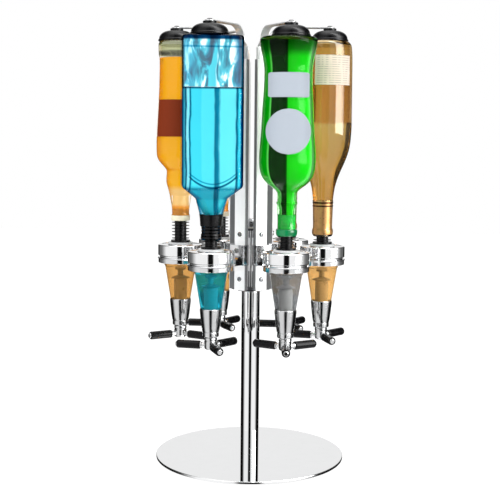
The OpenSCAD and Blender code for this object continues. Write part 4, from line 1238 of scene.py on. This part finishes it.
def makeRoom(s):
    world = bpy.data.worlds.new("softRoom")
    bpy.context.scene.world = world
    world.use_nodes = True
    tree = world.node_tree
    tree.nodes.clear()
    way = addNode(tree, "TexCoord").outputs["Generated"]
    facing, beside = [addNode(tree, "VectorMath", {0: way, 1: tuple(d)},
                              operation="DOT_PRODUCT").outputs["Value"]
                      for d in (towardCamera, besideCamera)]
    signed = addNode(tree, "Math", {0: beside, 1: facing}, operation="ARCTAN2").outputs[0]
    share = spread(tree, math2(tree, "ABSOLUTE", signed), 0, 1, 0, math.pi)
    low, level, back = [ramp(tree, share, [(a / 180, (g, g, g)) for a, g in bands])
                        for bands in (lowBands, levelBands, backBands)]
    height = addNode(tree, "SeparateXYZ", {"Vector": way}).outputs["Z"]
    over = spread(tree, height, 0, 1, s["ceilingFrom"], s["ceilingTo"])
    walls = blendColors(tree, spread(tree, height, 0, 1, s["levelFrom"], s["levelTo"]), low, level)
    walls = blendColors(tree, spread(tree, height, 0, 1, s["backFrom"], s["backTo"]), walls, back)
    walls = blendColors(tree, over, walls, (1.0, 1.0, 1.0))
    mirrored = blendColors(tree, spread(tree, height, 0, 1, s["floorFrom"], s["floorTo"]), walls,
                           (1.0, 1.0, 1.0))
    rays = addNode(tree, "LightPath")
    plain = (s["plain"],) * 3
    seen = blendColors(tree, rays.outputs["Is Glossy Ray"], plain, mirrored)
    seen = blendColors(tree, rays.outputs["Is Transmission Ray"], seen, (1.0, 1.0, 1.0))
    seen = blendColors(tree, rays.outputs["Is Camera Ray"], seen, (1.0, 1.0, 1.0))
    edge = math.radians(4)
    start, end = math.radians(s["windowFrom"]), math.radians(s["windowTo"])
    window = math2(tree, "MULTIPLY", spread(tree, signed, 0, 1, start, start + edge),
                   spread(tree, signed, 1, 0, end - edge, end))
    window = math2(tree, "MULTIPLY", window,
                   spread(tree, height, 0, 1, s["windowLow"], s["windowLow"] + 0.01))
    extra = math2(tree, "ADD", math2(tree, "MULTIPLY", window, s["windowPower"] - 1),
                  math2(tree, "MULTIPLY", over, s["ceilingPower"] - 1))
    power = math2(tree, "ADD", math2(tree, "MULTIPLY", extra, rays.outputs["Is Glossy Ray"]), 1.0)
    shown = addNode(tree, "Background", {"Color": seen, "Strength": power})
    out = addNode(tree, "OutputWorld")
    tree.links.new(shown.outputs[0], out.inputs["Surface"])


def makeFloor():
    size = 4.0
    mesh = bpy.data.meshes.new("paleFloor")
    drop = -0.0003
    mesh.from_pydata([(-size, -size, drop), (size, -size, drop), (size, size, drop), (-size, size, drop)], [],
                     [(0, 1, 2, 3)])
    material, tree, shader = newMaterial("paleFloor")
    shader.inputs["Base Color"].default_value = (0.9, 0.9, 0.9, 1)
    shader.inputs["Roughness"].default_value = 0.9
    shader.inputs["Specular IOR Level"].default_value = 0.0
    glow = addNode(tree, "Emission", {"Color": (1, 1, 1, 1), "Strength": 1.12})
    rays = addNode(tree, "LightPath")
    seen = math2(tree, "MAXIMUM", rays.outputs["Is Camera Ray"], rays.outputs["Is Transmission Ray"])
    share = math2(tree, "MULTIPLY", seen, 0.8)
    mix = addNode(tree, "MixShader", {0: share, 1: shader.outputs[0], 2: glow.outputs[0]})
    tree.links.new(mix.outputs[0], tree.nodes["Material Output"].inputs["Surface"])
    mesh.materials.append(material)
    floor = bpy.data.objects.new("paleFloor", mesh)
    bpy.context.scene.collection.objects.link(floor)
    floor.visible_glossy = False


lampSet = {
    "keyLamp": dict(place=(-1.3, -1.5, 1.7), size=1.2, power=26),
    "fillLamp": dict(place=(1.6, -1.1, 1.2), size=1.2, power=12),
    "backLamp": dict(place=(0.4, 1.7, 1.6), size=1.4, power=14),
}


def makeLamp(name, s):
    data = bpy.data.lights.new(name, "AREA")
    data.size = s["size"]
    data.energy = s["power"]
    lamp = bpy.data.objects.new(name, data)
    lamp.location = s["place"]
    aim = Vector((0, 0, 0.35)) - lamp.location
    lamp.rotation_euler = aim.to_track_quat("-Z", "Y").to_euler()
    lamp.visible_glossy = False
    lamp.visible_transmission = False
    bpy.context.scene.collection.objects.link(lamp)


makeRoom(roomSet)
makeFloor()
for name, s in lampSet.items():
    makeLamp(name, s)
bpy.context.scene.view_settings.view_transform = "Standard"
print("room lit")
